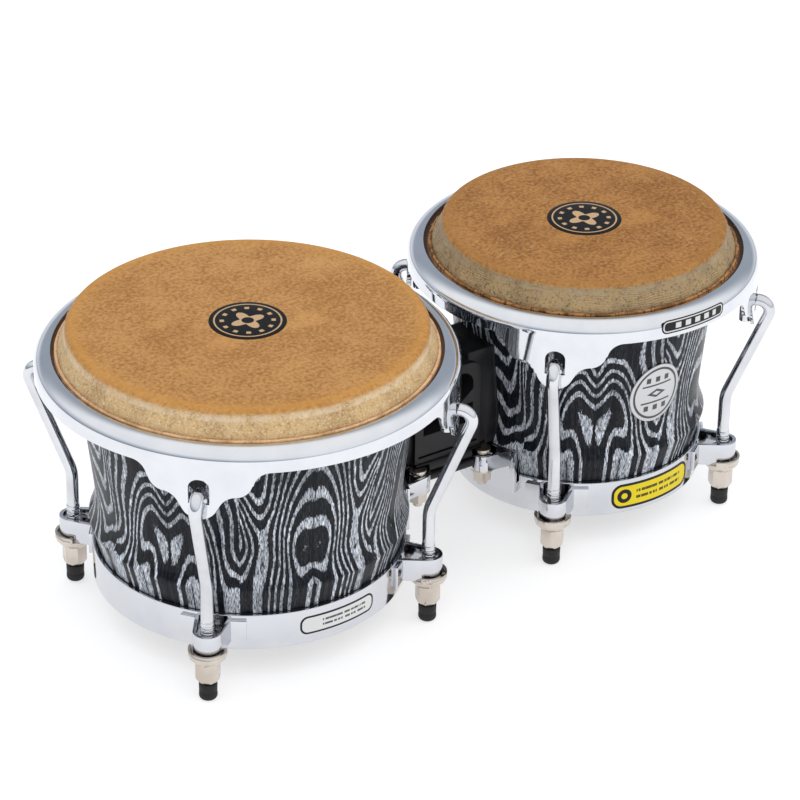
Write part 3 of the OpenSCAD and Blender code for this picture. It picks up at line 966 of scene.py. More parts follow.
def rod_recipe() -> Recipe:
    """A tree that gives a bent line a round rod's body and cuts a thread on its foot.

    Returns:
        The tree, with the rod's and the thread's sizes as inputs.
    """
    sizes = {"Rod radius": "NodeSocketFloat", "Thread foot": "NodeSocketVector",
             "Thread length": "NodeSocketFloat", "Thread pitch": "NodeSocketFloat",
             "Ridge": "NodeSocketFloat", "Finish": "NodeSocketMaterial"}
    circle, sweep = "GeometryNodeCurvePrimitiveCircle", "GeometryNodeCurveToMesh"
    r = Recipe("threaded rod", sizes)
    line = r.num("GeometryNodeMeshToCurve", inputs={0: r.size("Geometry")})
    round_ = r.num(circle, inputs={"Resolution": 28, "Radius": r.size("Rod radius")})
    body = r.num(sweep, inputs={"Curve": line, "Profile Curve": round_, "Fill Caps": True})
    turns = r.size("Thread length") / r.size("Thread pitch")
    depth = r.size("Rod radius") - 0.35 * r.size("Ridge")
    spiral = {"Resolution": 26, "Rotations": turns, "Start Radius": depth, "End Radius": depth,
              "Height": r.size("Thread length")}
    coil = r.num("GeometryNodeCurveSpiral", inputs=spiral)
    ridge = r.num(circle, inputs={"Resolution": 6, "Radius": r.size("Ridge")})
    thread = r.num(sweep, inputs={"Curve": coil, "Profile Curve": ridge, "Fill Caps": True})
    lifted = {"Geometry": thread, "Translation": r.size("Thread foot")}
    moved = r.num("GeometryNodeTransform", inputs=lifted)
    both = r.node("GeometryNodeJoinGeometry")
    r.tree.links.new(moved.socket, both.inputs[0])
    r.tree.links.new(body.socket, both.inputs[0])
    r.close(Num(r, both.outputs[0]))
    return r


# ---------------------------------------------------------------- sub-assemblies


@dataclass
class Placing:
    """How a piece joins the frame: what it stands for, what carries it, its finish slot."""

    body: str
    slot: str
    nodes: tuple[str, ...] = ()

    def apply(self, obj: bpy.types.Object) -> None:
        """Rides a piece on its body and reports it."""
        if self.nodes:
            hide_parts(*self.nodes)
        if self.body:
            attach(obj, self.body)
        log.info("%s: %d faces", obj.name, len(obj.data.polygons))


@dataclass
class DrumSizes:
    """Sizes shared by the pieces of one drum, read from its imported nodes."""

    drum: Drum
    axis_x: float = 0.0
    rim_r: float = 0.0
    ring_r: float = 0.0
    head_r: float = 0.0
    head_top: float = 0.0
    rim_top: float = 0.0
    shell_z: float = 0.0
    shell_top: float = 0.0
    ring_z: float = 0.0
    ring_top: float = 0.0
    ear_bottom: float = 0.0
    waist_r: float = 0.0
    bulge_r: float = 0.0
    lug_reach: float = 14.8 * MM
    fold_r: float = 4.2 * MM
    skin_t: float = 1.6 * MM
    wall: float = 11.0 * MM
    rim_t: float = 2.0 * MM
    ring_t: float = 2.0 * MM
    ring_inset: float = 1.6 * MM
    bulge_out: float = 4.0 * MM

    def __post_init__(self) -> None:
        """Reads the drum's place and main sizes from the frame."""
        low, high = self.box("rim")
        self.axis_x = (low[0] + high[0]) / 2
        self.rim_r = (high[0] - low[0]) / 2
        self.rim_top = high[2]
        self.ear_bottom = low[2]
        low, high = self.box("bottom_ring")
        self.ring_r = (high[0] - low[0]) / 2
        self.ring_z, self.ring_top = low[2], high[2]
        low, high = self.box("head")
        self.head_r = (high[0] - low[0]) / 2
        self.head_top = high[2]
        low, high = self.box("shell")
        self.shell_z, self.shell_top = low[2], high[2]
        self.bulge_r = self.ring_r + self.ring_inset
        self.waist_r = self.bulge_r - self.bulge_out

    def box(self, part: str) -> tuple[Vector, Vector]:
        """The lowest and highest corners of one of the drum's nodes."""
        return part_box(f"{self.drum.value}_{part}")

    def name(self, part: str) -> str:
        """A piece's or node's name for this drum."""
        return f"{self.drum.value}_{part}"

    @property
    def frame_body(self) -> str:
        """The body that moves down as the drum is tuned."""
        return self.name("tuning_frame")

    @property
    def lug_r(self) -> float:
        """Distance from the axis to the lugs."""
        return self.ring_r + self.lug_reach


@dataclass
class Shell:
    """The wooden shell, turned in one smooth line and veneered."""

    sizes: DrumSizes
    bulge_h: float = 37.0 * MM
    waist_rise: float = 17.0 * MM
    liner: float = 0.8 * MM
    seam: float = 12.0 * MM
    segments: int = 256

    def outline(self) -> list[Point]:
        """The closed outline of the wall: up the outside, over the bearing edge, down inside.

        Returns:
            Pairs of radius and height.
        """
        s = self.sizes
        foot_r = s.ring_r - s.ring_t - self.liner
        top_r = s.head_r - s.skin_t
        bulge_z = s.shell_z + self.bulge_h
        waist_z = bulge_z + self.waist_rise
        edge_r = s.fold_r - s.skin_t
        flare_end = s.head_top - s.fold_r
        lip_z = s.ring_top + self.liner
        line = [(foot_r - 0.6 * MM, s.shell_z), (foot_r, s.shell_z + 0.6 * MM), (foot_r, lip_z)]
        line += [(foot_r + (s.bulge_r - foot_r) * t, lip_z + (bulge_z - lip_z) * t)
                 for t in (0.33, 0.66, 0.97)]
        line += [(s.bulge_r - 0.1 * MM, bulge_z)]
        for i in range(1, 13):
            t = i / 12
            r = s.waist_r + (s.bulge_r - s.waist_r) * (1 - t) ** 2
            line.append((r, bulge_z + self.waist_rise * t))
        for i in range(1, 25):
            t = i / 24
            r = s.waist_r + (top_r - s.waist_r) * t ** 1.15
            line.append((r, waist_z + (flare_end - waist_z) * t))
        line += arc(edge_r, 0, 90, 8, (top_r - edge_r, flare_end))[1:]
        line += [(top_r - 4.5 * MM, s.shell_top), (top_r - s.wall, s.shell_top - 6 * MM),
                 (s.waist_r - s.wall, waist_z), (foot_r - s.wall, s.shell_z)]
        return line

    def build(self) -> bpy.types.Object:
        """Builds and dresses the shell.

        Returns:
            The piece.
        """
        s = self.sizes
        crease = s.shell_z + self.bulge_h
        finish = VeneerFinish(s.name("veneer"), crease, self.seam).make()
        obj = turned(s.name("veneered_shell"), self.outline(), s.axis_x, finish, self.segments, True, 38.0)
        Placing("root", "shell_veneer", (s.name("shell"),)).apply(obj)
        return obj


@dataclass
class Hide:
    """The drum's skin: membrane, fold, side wall and the roll round the flesh hoop."""

    sizes: DrumSizes
    finish: HideFinish
    ragged: float
    shoulder_w: float = 9.9 * MM
    roll_r: float = 4.5 * MM
    segments: int = 256

    def rows(self) -> tuple[list[Point], list[float], list[float], list[float]]:
        """The skin's outline with the strength of each zone along it.

        Returns:
            The outline, and the fold, wall and roll numbers of its points.
        """
        s = self.sizes
        lip = s.rim_r - self.shoulder_w
        reach = (lip - s.head_r) / 8.1
        roll_c = (lip - 1.4 * MM, s.rim_top - s.rim_t - self.roll_r + 0.1 * MM)
        fold_end = s.head_top - s.fold_r
        inner_r = s.head_r - s.skin_t + 0.3 * MM
        pts, fold, wall, roll = [(0.0, s.head_top)], [0.0], [0.0], [0.0]

        def add(p: Point, f: float, w: float, r: float) -> None:
            """Adds a point with its zones."""
            pts.append(p)
            fold.append(f)
            wall.append(w)
            roll.append(r)

        for t in (0.15, 0.3, 0.5, 0.7, 0.84, 0.92, 0.96):
            add(((s.head_r - s.fold_r) * t, s.head_top), max(0.0, (t - 0.9) * 5.0), 0.0, 0.0)
        for i, p in enumerate(arc(s.fold_r, 90, 20, 8, (s.head_r - s.fold_r, fold_end))):
            add(p, max(0.0, 0.9 - 0.1 * i), 0.1 * i, 0.0)
        side = [(-0.05, -5.2), (0.55, -7.2), (1.5, -9.4), (2.7, -11.6), (3.6, -13.6), (4.1, -15.0),
                (4.0, -16.1)]
        for x, z in side:
            add((s.head_r + x * reach, s.head_top + z * MM), 0.0, 0.9 if z > -7 else 1.0, 0.0)
        piping = (s.head_r + 4.9 * reach, s.head_top - 16.4 * MM)
        for p in arc(1.05 * MM, 165, -50, 9, piping):
            add(p, 0.0, 0.0, 0.5)
        for x, z in [(-1.7, -2.9), (-1.0, -2.7), (-0.3, -2.4), (0.6, -2.3), (1.6, -2.6)]:
            add((lip + x * MM, s.rim_top + z * MM), 0.0, 0.0, 1.0)
        for p in arc(self.roll_r, 35, -170, 18, roll_c):
            add(p, 0.0, 0.0, 1.0)
        add((inner_r, roll_c[1] - 1.2 * MM), 0.0, 0.0, 1.0)
        add((inner_r, fold_end), 0.0, 1.0, 0.0)
        for p in arc(s.fold_r - s.skin_t, 0, 90, 6, (s.head_r - s.fold_r, fold_end))[1:]:
            add(p, 0.5, 0.0, 0.0)
        add((0.0, s.head_top - s.skin_t), 0.0, 0.0, 0.0)
        return pts, fold, wall, roll

    def build(self) -> bpy.types.Object:
        """Builds and dresses the skin.

        Returns:
            The piece.
        """
        s = self.sizes
        pts, fold, wall, roll = self.rows()
        turn = np.linspace(0, 2 * math.pi, self.segments, endpoint=False)
        outline = np.array(pts)
        points = np.zeros((len(pts), self.segments, 3))
        seed = 3.0 if s.drum is Drum.LARGE else 11.0
        for c, a in enumerate(turn):
            way = Vector((math.cos(a), math.sin(a), 0.0))
            slow = noise.noise(way * 3.0 + Vector((0, 0, seed)))
            quick = noise.noise(way * 17.0 + Vector((0, 0, seed + 5)))
            for i, (r, z) in enumerate(outline):
                part = min(1.0, roll[i] * 2.0) if roll[i] < 0.9 else 0.0
                out = part * (0.2 * slow + 0.75 * quick * self.ragged) * MM
                lift = part * (0.25 * slow + 1.3 * quick * self.ragged) * MM
                at = Vector((way.x * 22, way.y * 22, z * 420 + seed))
                crinkle = max(0.0, wall[i] - 0.5) * self.ragged * 0.9 * MM * noise.noise(at)
                reach = r + min(out, 0.6 * MM) + crinkle
                points[i, c] = (s.axis_x + reach * way.x, reach * way.y, z + lift)
        zones = {"fold": np.array(fold), "wall": np.array(wall), "roll": np.array(roll)}
        mesh = grid_mesh(s.name("hide"), points, False, zones=zones)
        tidy(mesh)
        smooth(mesh, 70.0)
        obj = new_object(s.name("hide"), mesh, self.finish.make())
        still, carried = (s.axis_x, 0, s.head_top - s.fold_r), (s.axis_x, 0, s.rim_top + 1 * MM)
        s.frame_body
        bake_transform(obj)
        Placing("", "hide", (s.name("head"), s.name("head_collar"))).apply(obj)
        return obj


@dataclass
class Rim:
    """The pressed rim with its rolled shoulder, ears and slots."""

    sizes: DrumSizes
    material: bpy.types.Material
    shoulder_w: float = 9.9 * MM
    shoulder_h: float = 7.5 * MM
    ear_h: float = 30.7 * MM
    bar_h: float = 9.7 * MM
    slot_w: float = 12.0 * MM
    slot_h: float = 15.5 * MM

    def ear_line(self) -> np.ndarray:
        """Half of an ear's lower edge, from its tip outward.

        Returns:
            Rows of distance from the middle and height over the tip.
        """
        h = self.ear_h / MM
        half = arc(11, 270, 330, 10, (0, 11)) + arc(10.2, 155, 95, 10, (21, 5))
        half += arc(9.3, 278, 345, 10, (20.5, h - 6.2)) + arc(9.3, 170, 95, 10, (39.5, h - 9.3))
        rows = [(x, min(z, h)) for x, z in half]
        return np.array(rows) * MM

    def columns(self) -> np.ndarray:
        """Angles of the columns over one quarter, from one ear's middle to the next.

        Returns:
            Angles in radians, the last one left out.
        """
        slot = self.slot_w / 2
        line = self.ear_line()
        inner = slot * np.sin(np.linspace(0, math.pi / 2, 11))
        corners = line[line[:, 0] > slot + 0.2 * MM, 0]
        outer = np.unique(np.concatenate([np.linspace(slot, line[-1, 0], 46), corners]))
        half = np.arcsin(np.concatenate([inner, outer[1:]]) / self.sizes.rim_r)
        rest = np.linspace(half[-1], math.pi / 4, 10)[1:]
        first = np.concatenate([half, rest])
        return np.concatenate([first, (math.pi / 2 - first[::-1])[1:-1]])

    def levels(self, y: float) -> tuple[float, float, float]:
        """The lower edge and the slot's two levels at one place along the rim.

        Args:
            y: distance from the nearest ear's middle, across the ear.

        Returns:
            Heights of the lower edge, the slot's bottom and the slot's top.
        """
        s = self.sizes
        line = self.ear_line()
        top = s.rim_top - self.shoulder_h
        low = s.ear_bottom + float(np.interp(y, line[:, 0], line[:, 1]))
        slot = self.slot_w / 2
        corner = slot - 0.5 * MM
        bottom = s.ear_bottom + self.bar_h
        if y <= slot:
            curve = corner * math.sqrt(max(0.0, 1 - (y / slot) ** 2))
            return low, bottom, bottom + self.slot_h - corner + curve
        edge = s.ear_bottom + float(np.interp(slot, line[:, 0], line[:, 1]))
        share_a = (bottom - edge) / (top - edge)
        share_b = (bottom + self.slot_h - corner - edge) / (top - edge)
        return low, low + share_a * (top - low), low + share_b * (top - low)

    def build(self) -> bpy.types.Object:
        """Builds the rim's outer face, gives it its wall and rounds its edges.

        Returns:
            The piece.
        """
        s = self.sizes
        quarter = self.columns()
        angles = np.concatenate([quarter + i * math.pi / 2 for i in range(4)])
        top = s.rim_top - self.shoulder_h
        steps = (3, 6, 5)
        rows = sum(steps) + 1
        bend = 10
        points = np.zeros((rows + bend, len(angles), 3))
        holes = np.zeros((rows + bend, len(angles)), dtype=bool)
        slot = self.slot_w / 2
        for c, a in enumerate(angles):
            local = (a + math.pi / 4) % (math.pi / 2) - math.pi / 4
            y = abs(s.rim_r * math.sin(local))
            low, one, two = self.levels(y)
            marks = [low, one, two, top]
            heights = [low]
            for i, count in enumerate(steps):
                heights += [marks[i] + (marks[i + 1] - marks[i]) * (j + 1) / count for j in range(count)]
            turn = a + math.pi / 4
            way = (math.cos(turn), math.sin(turn))
            for i, z in enumerate(heights):
                points[i, c] = (s.axis_x + s.rim_r * way[0], s.rim_r * way[1], z)
            for i in range(bend):
                t = math.radians(90 - 90 * (i + 1) / bend)
                r = s.rim_r - self.shoulder_w + self.shoulder_w * math.sin(t)
                z = top + self.shoulder_h * math.cos(t)
                points[rows + i, c] = (s.axis_x + r * way[0], r * way[1], z)
            mid = (angles[(c + 1) % len(angles)] + a) / 2 if c + 1 < len(angles) else (a + 2 * math.pi) / 2
            local = (mid + math.pi / 4) % (math.pi / 2) - math.pi / 4
            if abs(s.rim_r * math.sin(local)) < slot:
                holes[steps[0]:steps[0] + steps[1], c] = True
        mesh = grid_mesh(s.name("pressed_rim"), points, False, holes)
        tidy(mesh, False)
        obj = new_object(s.name("pressed_rim"), mesh, self.material)
        wall = obj.modifiers.new("wall", "SOLIDIFY")
        wall.thickness = s.rim_t
        wall.offset = -1.0
        wall.use_even_offset = True
        edges = obj.modifiers.new("edges", "BEVEL")
        edges.width = 0.55 * MM
        edges.segments = 3
        edges.limit_method = "ANGLE"
        edges.angle_limit = math.radians(50)
        with_modifiers(obj)
        smooth(obj.data, 40.0)
        Placing(s.frame_body, "chrome", (s.name("rim"),)).apply(obj)
        return obj


@dataclass
class BottomRing:
    """The pressed ring round the shell's foot."""

    sizes: DrumSizes
    material: bpy.types.Material
    flange: float = 11.0 * MM
    soft: float = 1.1 * MM

    def build(self) -> bpy.types.Object:
        """Builds the ring with its soft lower edge.

        Returns:
            The piece.
        """
        s = self.sizes
        r, t, e = s.ring_r, s.ring_t, self.soft
        low, high = s.ring_z, s.ring_top
        line = arc(e, -90, 0, 6, (r - e, low + e))
        line += arc(0.5 * MM, 0, 90, 4, (r - 0.5 * MM, high - 0.5 * MM))
        line += arc(0.5 * MM, 90, 180, 4, (r - t + 0.5 * MM, high - 0.5 * MM))
        line += [(r - t, low + t + 0.3 * MM), (r - t - 0.3 * MM, low + t)]
        line += [(r - t - self.flange + 0.4 * MM, low + t), (r - t - self.flange, low + t - 0.4 * MM)]
        line += [(r - t - self.flange, low + 0.4 * MM), (r - t - self.flange + 0.4 * MM, low)]
        obj = turned(s.name("foot_ring"), line, s.axis_x, self.material, 256, False, 50.0)
        Placing("root", "chrome", (s.name("bottom_ring"),)).apply(obj)
        return obj


@dataclass
class TensionRods:
    """Four hooked rods with a cut thread at the foot and a forged tip."""

    sizes: DrumSizes
    finishes: Finishes
    rod_r: float = 3.75 * MM
    lean: float = 21.5
    knee_r: float = 25.0 * MM
    hook_r: float = 7.2 * MM
    hook_out: float = 1.05 * MM
    hook_over_tip: float = 8.7 * MM
    tip: float = 7.0 * MM
    foot: float = 3.5 * MM
    pitch: float = 1.25 * MM
    thread: float = 30.0 * MM
    ridge: float = 0.42 * MM

    def line(self) -> list[Point]:
        """The rod's middle line in the plane through the drum's axis.

        Returns:
            Pairs of distance from the drum's axis and height.
        """
        s = self.sizes
        lean = math.radians(self.lean)
        centre = (s.rim_r + self.hook_out, s.ear_bottom + self.hook_over_tip)
        end_x = centre[0] + self.hook_r * math.cos(lean)
        end_z = centre[1] - self.hook_r * math.sin(lean)
        run = (end_x - s.lug_r - self.knee_r * (1 - math.cos(lean))) / math.sin(lean)
        knee_z = end_z - run * math.cos(lean) - self.knee_r * math.sin(lean)
        pts = [(s.lug_r, self.foot), (s.lug_r, 0.5 * (self.foot + knee_z)), (s.lug_r, knee_z)]
        pts += arc(self.knee_r, 180, 180 - self.lean, 8, (s.lug_r + self.knee_r, knee_z))[1:]
        pts += arc(self.hook_r, -self.lean, 180, 26, centre)
        last = (centre[0] - self.hook_r, centre[1])
        pts += [(last[0], last[1] - self.tip + 0.8 * MM), (last[0], last[1] - self.tip + 0.3 * MM),
                (last[0], last[1] - self.tip)]
        return pts

    def build(self, rod: Recipe, around: Recipe) -> bpy.types.Object:
        """Builds the four rods.

        Args:
            rod: the tree that makes a rod from a line.
            around: the tree that repeats it round the drum.

        Returns:
            The piece.
        """
        s = self.sizes
        pts = self.line()
        mesh = bpy.data.meshes.new(s.name("tension_rods"))
        steps = [(i, i + 1) for i in range(len(pts) - 1)]
        mesh.from_pydata([(x, 0.0, z) for x, z in pts], steps, [])
        thick = [1.0] * len(pts)
        thick[-3:] = [1.05, 0.96, 0.74]
        mesh.attributes.new("radius", "FLOAT", "POINT").data.foreach_set("value", thick)
        obj = new_object(s.name("tension_rods"), mesh, self.finishes.rod)
        start = s.box("nut_1")[1][2] - 3 * MM
        rod.cook(obj, {"Rod radius": self.rod_r, "Thread foot": (s.lug_r, 0.0, start),
                       "Thread length": self.thread, "Thread pitch": self.pitch, "Ridge": self.ridge,
                       "Finish": self.finishes.rod})
        around.cook(obj, {"Copies": 4, "First angle": math.pi / 4, "Axis x": s.axis_x,
                          "Finish": self.finishes.rod})
        tidy(obj.data)
        smooth(obj.data, 45.0)
        nodes = tuple(s.name(f"hook_{i}") for i in range(1, 5))
        Placing(s.frame_body, "chrome", nodes).apply(obj)
        return obj


@dataclass
class RubberTips:
    """Four rubber tips on the ends of the rods."""

    sizes: DrumSizes
    material: bpy.types.Material
    radius: float = 5.4 * MM
    height: float = 11.0 * MM
    bore: float = 3.75 * MM

    def build(self, around: Recipe) -> bpy.types.Object:
        """Builds the tips.

        Args:
            around: the tree that repeats one round the drum.

        Returns:
            The piece.
        """
        s = self.sizes
        r, h = self.radius, self.height
        line = [(0.0, 0.0)] + arc(2.6 * MM, -90, 0, 8, (r - 2.6 * MM, 2.6 * MM))
        line += [(r - 0.1 * MM, 0.45 * h), (r - 0.35 * MM, 0.5 * h), (r - 0.1 * MM, 0.55 * h)]
        line += arc(0.6 * MM, 0, 90, 4, (r - 0.6 * MM, h - 0.6 * MM))
        line += [(self.bore, h), (self.bore, 3.5 * MM), (0.0, 3.5 * MM)]
        tip = turned(s.name("rubber_tips"), line, 0.0, self.material, 40, False, 40.0)
        tip.data.transform(Matrix.Translation((s.lug_r, 0.0, 0.0)))
        around.cook(tip, {"Copies": 4, "First angle": math.pi / 4, "Axis x": s.axis_x,
                          "Finish": self.material})
        smooth(tip.data, 40.0)
        nodes = tuple(s.name(f"foot_{i}") for i in range(1, 5))
        Placing(s.frame_body, "rubber", nodes).apply(tip)
        return tip


@dataclass
class LugStack:
    """The brackets, cup washers and nuts that hold the rods at the ring."""

    sizes: DrumSizes
    finishes: Finishes

    def build(self) -> None:
        """Builds the brackets, washers and nuts from their CAD shapes."""
        s = self.sizes
        for part, name, material, slot, edge in (
                ("lug_brackets", "pressed_lugs", self.finishes.ring, "chrome", 0.4),
                ("cup_washers", "dished_washers", self.finishes.nickel, "nickel", 0.3)):
            obj = polished_copy(s.name(part), s.name(name), material, edge * MM)
            Placing("root", slot, (s.name(part),)).apply(obj)
        for i in range(1, 5):
            node, name = s.name(f"nut_{i}"), s.name(f"hex_nut_{i}")
            obj = polished_copy(node, name, self.finishes.nickel, 0.3 * MM)
            Placing(s.name(f"nut_{i}_turn"), "nickel", (node,)).apply(obj)


@dataclass
class HeadBadge:
    """The round sticker in the middle of a head."""

    sizes: DrumSizes
    radius: float = 22.5 * MM
    thick: float = 0.4 * MM

    def build(self) -> bpy.types.Object:
        """Builds the sticker with a softened edge.

        Returns:
            The piece.
        """
        s = self.sizes
        z, t, r = s.head_top, self.thick, self.radius
        line = [(0.0, z + t), (r * 0.5, z + t), (r - 0.5 * MM, z + t), (r - 0.15 * MM, z + 0.8 * t),
                (r, z + 0.3 * t), (r, z), (0.0, z)]
        finish = BadgeFinish(s.name("badge_print"), (s.axis_x, 0.0, z), r).make()
        obj = turned(s.name("head_sticker"), line, s.axis_x, finish, 96, False, 40.0)
        Placing("root", "badge_black", (s.name("head_badge"),)).apply(obj)
        return obj


@dataclass
class WrappedLabel:
    """A thin label bent round a drum's rim or ring."""

    sizes: DrumSizes
    part: str
    style: LabelStyle
    radius: float
    low: float
    high: float
    start: float
    end: float
    body: str
    slot: str
    thick: float = 0.12 * MM

    def build(self) -> bpy.types.Object:
        """Builds the label as a thin sheet with round corners.

        Returns:
            The piece.
        """
        s = self.sizes
        half_w = self.radius * math.radians(self.end - self.start) / 2
        half_h = (self.high - self.low) / 2
        corner = half_h * 0.8
        us = np.concatenate([-half_w + corner * (1 - np.cos(np.linspace(0, math.pi / 2, 9))),
                             np.linspace(-half_w + corner, half_w - corner, 40)[1:-1],
                             half_w - corner * (1 - np.cos(np.linspace(math.pi / 2, 0, 9)))])
        mid = math.radians((self.start + self.end) / 2)
        rows = 5
        verts, quads, uvs = [], [], []
        for u in us:
            out = max(0.0, abs(u) - (half_w - corner))
            reach = half_h - corner + math.sqrt(max(0.0, corner ** 2 - out ** 2))
            a = mid + u / self.radius
            for i in range(rows):
                v = -reach + 2 * reach * i / (rows - 1)
                r = self.radius + self.thick
                z = (self.low + self.high) / 2 + v
                verts.append((s.axis_x + r * math.cos(a), r * math.sin(a), z))
                uvs.append((u, v))
        for c in range(len(us) - 1):
            for i in range(rows - 1):
                here, there = c * rows + i, (c + 1) * rows + i
                quads.append((here, there, there + 1, here + 1))
        mesh = bpy.data.meshes.new(s.name(self.part))
        mesh.from_pydata(verts, [], quads)
        layer = mesh.uv_layers.new(name="wrap")
        corners = np.array([uvs[i] for q in quads for i in q], dtype=np.float32)
        layer.data.foreach_set("uv", corners.reshape(-1))
        finish = LabelFinish(s.name(self.part + "_print"), self.style, half_w, half_h).make()
        obj = new_object(s.name(self.part), mesh, finish)
        wall = obj.modifiers.new("wall", "SOLIDIFY")
        wall.thickness = self.thick
        wall.offset = -1.0
        with_modifiers(obj)
        smooth(obj.data, 40.0)
        Placing(self.body, self.slot).apply(obj)
        return obj


@dataclass
class Bridge:
    """The moulded block between the drums, its frame, brackets and bolts."""

    finishes: Finishes

    def build(self) -> None:
        """Builds the bridge's pieces from their CAD shapes."""
        f = self.finishes
        for node, name, material, slot, edge in (
                ("bridge_block", "moulded_block", f.plastic, "black_plastic", 0.8),
                ("bridge_base", "moulded_frame", f.plastic, "black_plastic", 0.5),
                ("bridge_pads", "saddle_pads", f.rubber, "rubber", 0.2),
                ("bridge_bolts", "bolt_set", f.nickel, "nickel", 0.4),
                ("bridge_nuts", "bolt_nut_set", f.nickel, "nickel", 0.3),
                ("bridge_screws", "screw_set", f.zinc, "nickel", 0.4),
                ("hembra_bridge_bracket", "large_ring_bracket", f.ring, "chrome", 0.4),
                ("macho_bridge_bracket", "small_ring_bracket", f.ring, "chrome", 0.4)):
            obj = polished_copy(node, name, material, edge * MM)
            Placing("root", slot, (node,)).apply(obj)


@dataclass
class OvalPlate:
    """The small drum's oval metal plate."""

    def build(self) -> bpy.types.Object:
        """Builds the plate and its engraving.

        Returns:
            The piece.
        """
        low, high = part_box("macho_oval_plate")
        centre = tuple((a + b) / 2 for a, b in zip(low, high))
        finish = EngravedPlateFinish("oval plate metal", centre, (high[0] - low[0]) / 2,
                                     (high[2] - low[2]) / 2).make()
        obj = polished_copy("macho_oval_plate", "oval_name_plate", finish, 0.35 * MM)
        Placing("root", "badge_silver", ("macho_oval_plate",)).apply(obj)
        return obj


@dataclass
class DrumKit:
    """One complete drum."""

    drum: Drum
    finishes: Finishes
    hide: HideFinish
    ragged: float
    seam: float
    sizes: DrumSizes = field(init=False)

    def __post_init__(self) -> None:
        """Reads the drum's sizes."""
        self.sizes = DrumSizes(self.drum)

    def build(self, rod: Recipe, around: Recipe) -> None:
        """Builds every piece of the drum.

        Args:
            rod: the tree that makes a rod from a line.
            around: the tree that repeats a piece round the drum.
        """
        s, f = self.sizes, self.finishes
        Shell(s, seam=self.seam).build()
        Hide(s, self.hide, self.ragged).build()
        Rim(s, f.chrome).build()
        BottomRing(s, f.ring).build()
        TensionRods(s, f).build(rod, around)
        RubberTips(s, f.rubber).build(around)
        LugStack(s, f).build()
        HeadBadge(s).build()
        for part, material in (("flesh_hoop", f.zinc), ("ring_liner", f.rubber)):
            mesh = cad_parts[s.name(part)].data
            mesh.materials.clear()
            mesh.materials.append(material)


@dataclass
class Studio:
    """The floor, lights, surroundings and camera."""

    target: tuple[float, float, float] = (0.0097, 0.0017, 0.1102)
    distance: float = 2.2442
    azimuth: float = -0.609
    elevation: float = 0.512
    roll: float = 0.017
    lens: float = 168.5
    shift: tuple[float, float] = (-0.0240, -0.0228)

    def floor(self) -> None:
        """Lays a wide, flat, pale disc."""
        ring = [(0.0, 0.0), (2.0, 0.0), (5.0, 0.0), (5.0, -0.02), (0.0, -0.02)]
        obj = turned("studio_floor", ring, 0.0, FloorFinish().make(), 96)

    def lamp(self, name: str, place: tuple[float, float, float], size: float, power: float,
             colour: Colour = (1.0, 1.0, 1.0)) -> None:
        """Hangs a soft square lamp that looks at the drums.

        Args:
            name: its name.
            place: where it hangs.
            size: its side.
            power: its power in watts.
            colour: its colour.
        """
        data = bpy.data.lights.new(name, "AREA")
        data.shape = "SQUARE"
        data.size = size
        data.energy = power
        data.color = colour
        obj = bpy.data.objects.new(name, data)
        obj.location = place
        away = Vector(place) - Vector(self.target)
        obj.rotation_euler = away.to_track_quat("Z", "Y").to_euler()
        obj.visible_glossy = False
        bpy.context.scene.collection.objects.link(obj)

    def surroundings(self) -> None:
        """Gives the room a bright sky, grey at the horizon and half way up its far side."""
        world = bpy.data.worlds.new("studio room")
        world.use_nodes = True
        g = Graph(world.node_tree)
        where = g.num("ShaderNodeTexCoord", output="Generated")
        parts = g.node("ShaderNodeSeparateXYZ", inputs={0: where})
        up = Num(g, parts.outputs[2])
        side = Num(g, parts.outputs[0])
        wash = (side * 2.2 + 0.7).math("SINE") * 0.08
        stops = [(0.0, (0.30, 0.32, 0.35)), (0.48, (0.34, 0.37, 0.42)), (0.56, (0.60, 0.63, 0.69)),
                 (0.70, (0.93, 0.95, 0.98)), (1.0, (1.0, 1.0, 1.0))]
        ramp = g.num("ShaderNodeValToRGB", {"stops": stops}, {0: up * 0.5 + 0.5 + wash})
        away = side * 0.57 + Num(g, parts.outputs[1]) * 0.82
        dim = away.step(0.3, 0.8) * up.step(0.1, 0.32) * up.step(0.95, 0.7)
        sky = g.num("ShaderNodeMix", {"data_type": "RGBA"}, {0: dim, 6: ramp, 7: (0.36, 0.40, 0.46)}, 2)
        back = world.node_tree.nodes["Background"]
        world.node_tree.links.new(sky.socket, back.inputs["Color"])
        back.inputs["Strength"].default_value = 1.06
        bpy.context.scene.world = world

    def camera(self) -> None:
        """Sets up the camera at the chosen angle."""
        az, el = self.azimuth, self.elevation
        back = Vector((math.sin(az) * math.cos(el), -math.cos(az) * math.cos(el), math.sin(el)))
        right = Vector((math.cos(az), math.sin(az), 0.0))
        up = back.cross(right)
        turn = math.cos(self.roll), math.sin(self.roll)
        across = turn[0] * right + turn[1] * up
        above = turn[0] * up - turn[1] * right
        data = bpy.data.cameras.new("camera")
        data.sensor_width = 36.0
        data.lens = self.lens
        data.shift_x, data.shift_y = self.shift
        obj = bpy.data.objects.new("camera", data)
        axes = Matrix((across, above, back)).transposed().to_4x4()
        obj.matrix_world = Matrix.Translation(Vector(self.target) + back * self.distance) @ axes
        bpy.context.scene.collection.objects.link(obj)
        bpy.context.scene.camera = obj

    def build(self) -> None:
        """Builds the whole studio."""
        self.camera()
        self.floor()
        self.surroundings()
        self.lamp("key", (-0.9, -1.6, 2.4), 1.6, 13.0)
        self.lamp("fill", (1.9, -1.0, 1.5), 1.4, 4.0, (0.96, 0.98, 1.0))
        self.lamp("top", (0.2, 0.6, 2.6), 2.0, 7.0)
        view = bpy.context.scene.view_settings
        view.view_transform = "Standard"
        view.look = "None"
        view.exposure = 0.0


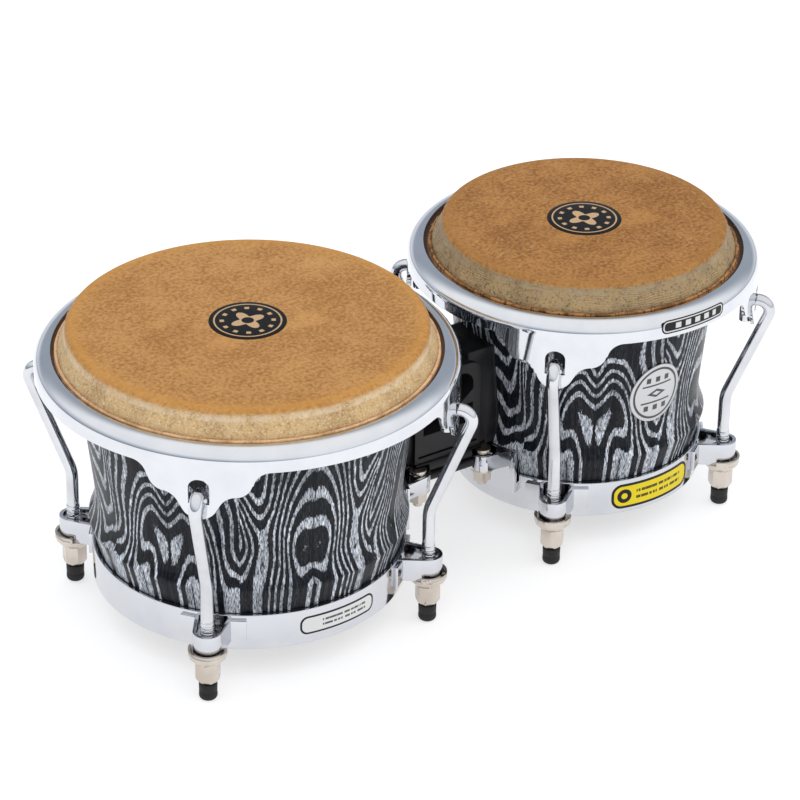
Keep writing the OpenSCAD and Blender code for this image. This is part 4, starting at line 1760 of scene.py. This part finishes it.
def main() -> None:
    """Builds the pair of drums in order."""
    logging.basicConfig(level=logging.INFO, format="%(name)s: %(message)s")
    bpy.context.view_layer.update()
    Studio().build()
    finishes = Finishes()
    rod, around = rod_recipe(), round_recipe()
    large = DrumSizes(Drum.LARGE)
    small = DrumSizes(Drum.SMALL)
    pale = HideFinish(
        "large hide", (large.axis_x, 0.0, 0.0), top=(0.51, 0.262, 0.082), top_dark=(0.31, 0.132, 0.03),
        fold=(0.54, 0.255, 0.05), wall=(0.62, 0.42, 0.195), wall_dark=(0.33, 0.19, 0.07),
        roll=(0.72, 0.46, 0.26), roll_dark=(0.5, 0.28, 0.13), edge=(0.80, 0.66, 0.48),
        painted_shade=(0.10, 0.048, 0.018), mark=(0.6, 0.36, 0.14), wrinkle=0.3, scratch=0.15)
    warm = HideFinish(
        "small hide", (small.axis_x, 0.0, 0.0), top=(0.42, 0.197, 0.051), top_dark=(0.22, 0.082, 0.016),
        fold=(0.36, 0.165, 0.035), wall=(0.40, 0.27, 0.125), wall_dark=(0.13, 0.085, 0.045),
        roll=(0.42, 0.20, 0.07), roll_dark=(0.17, 0.075, 0.025), edge=(0.40, 0.33, 0.22),
        painted_shade=(0.05, 0.024, 0.01), mark=(0.56, 0.34, 0.15), wrinkle=1.0, scratch=0.6)
    DrumKit(Drum.LARGE, finishes, pale, ragged=0.25, seam=40 * MM).build(rod, around)
    DrumKit(Drum.SMALL, finishes, warm, ragged=1.0, seam=22 * MM).build(rod, around)
    OvalPlate().build()
    Bridge(finishes).build()
    WrappedLabel(small, "rim_label", LabelStyle.BAND, small.rim_r, low=161.9 * MM, high=171.0 * MM,
                 start=259, end=284, body=small.frame_body, slot="badge_black").build()
    WrappedLabel(small, "ring_sticker", LabelStyle.SUNNY, small.ring_r, low=27.5 * MM, high=44.5 * MM,
                 start=250, end=295, body="root", slot="badge_black").build()
    WrappedLabel(large, "ring_label", LabelStyle.PLAIN, large.ring_r, low=30.5 * MM, high=42.5 * MM,
                 start=256, end=288, body="root", slot="badge_black").build()


if __name__ == "__main__":
    main()
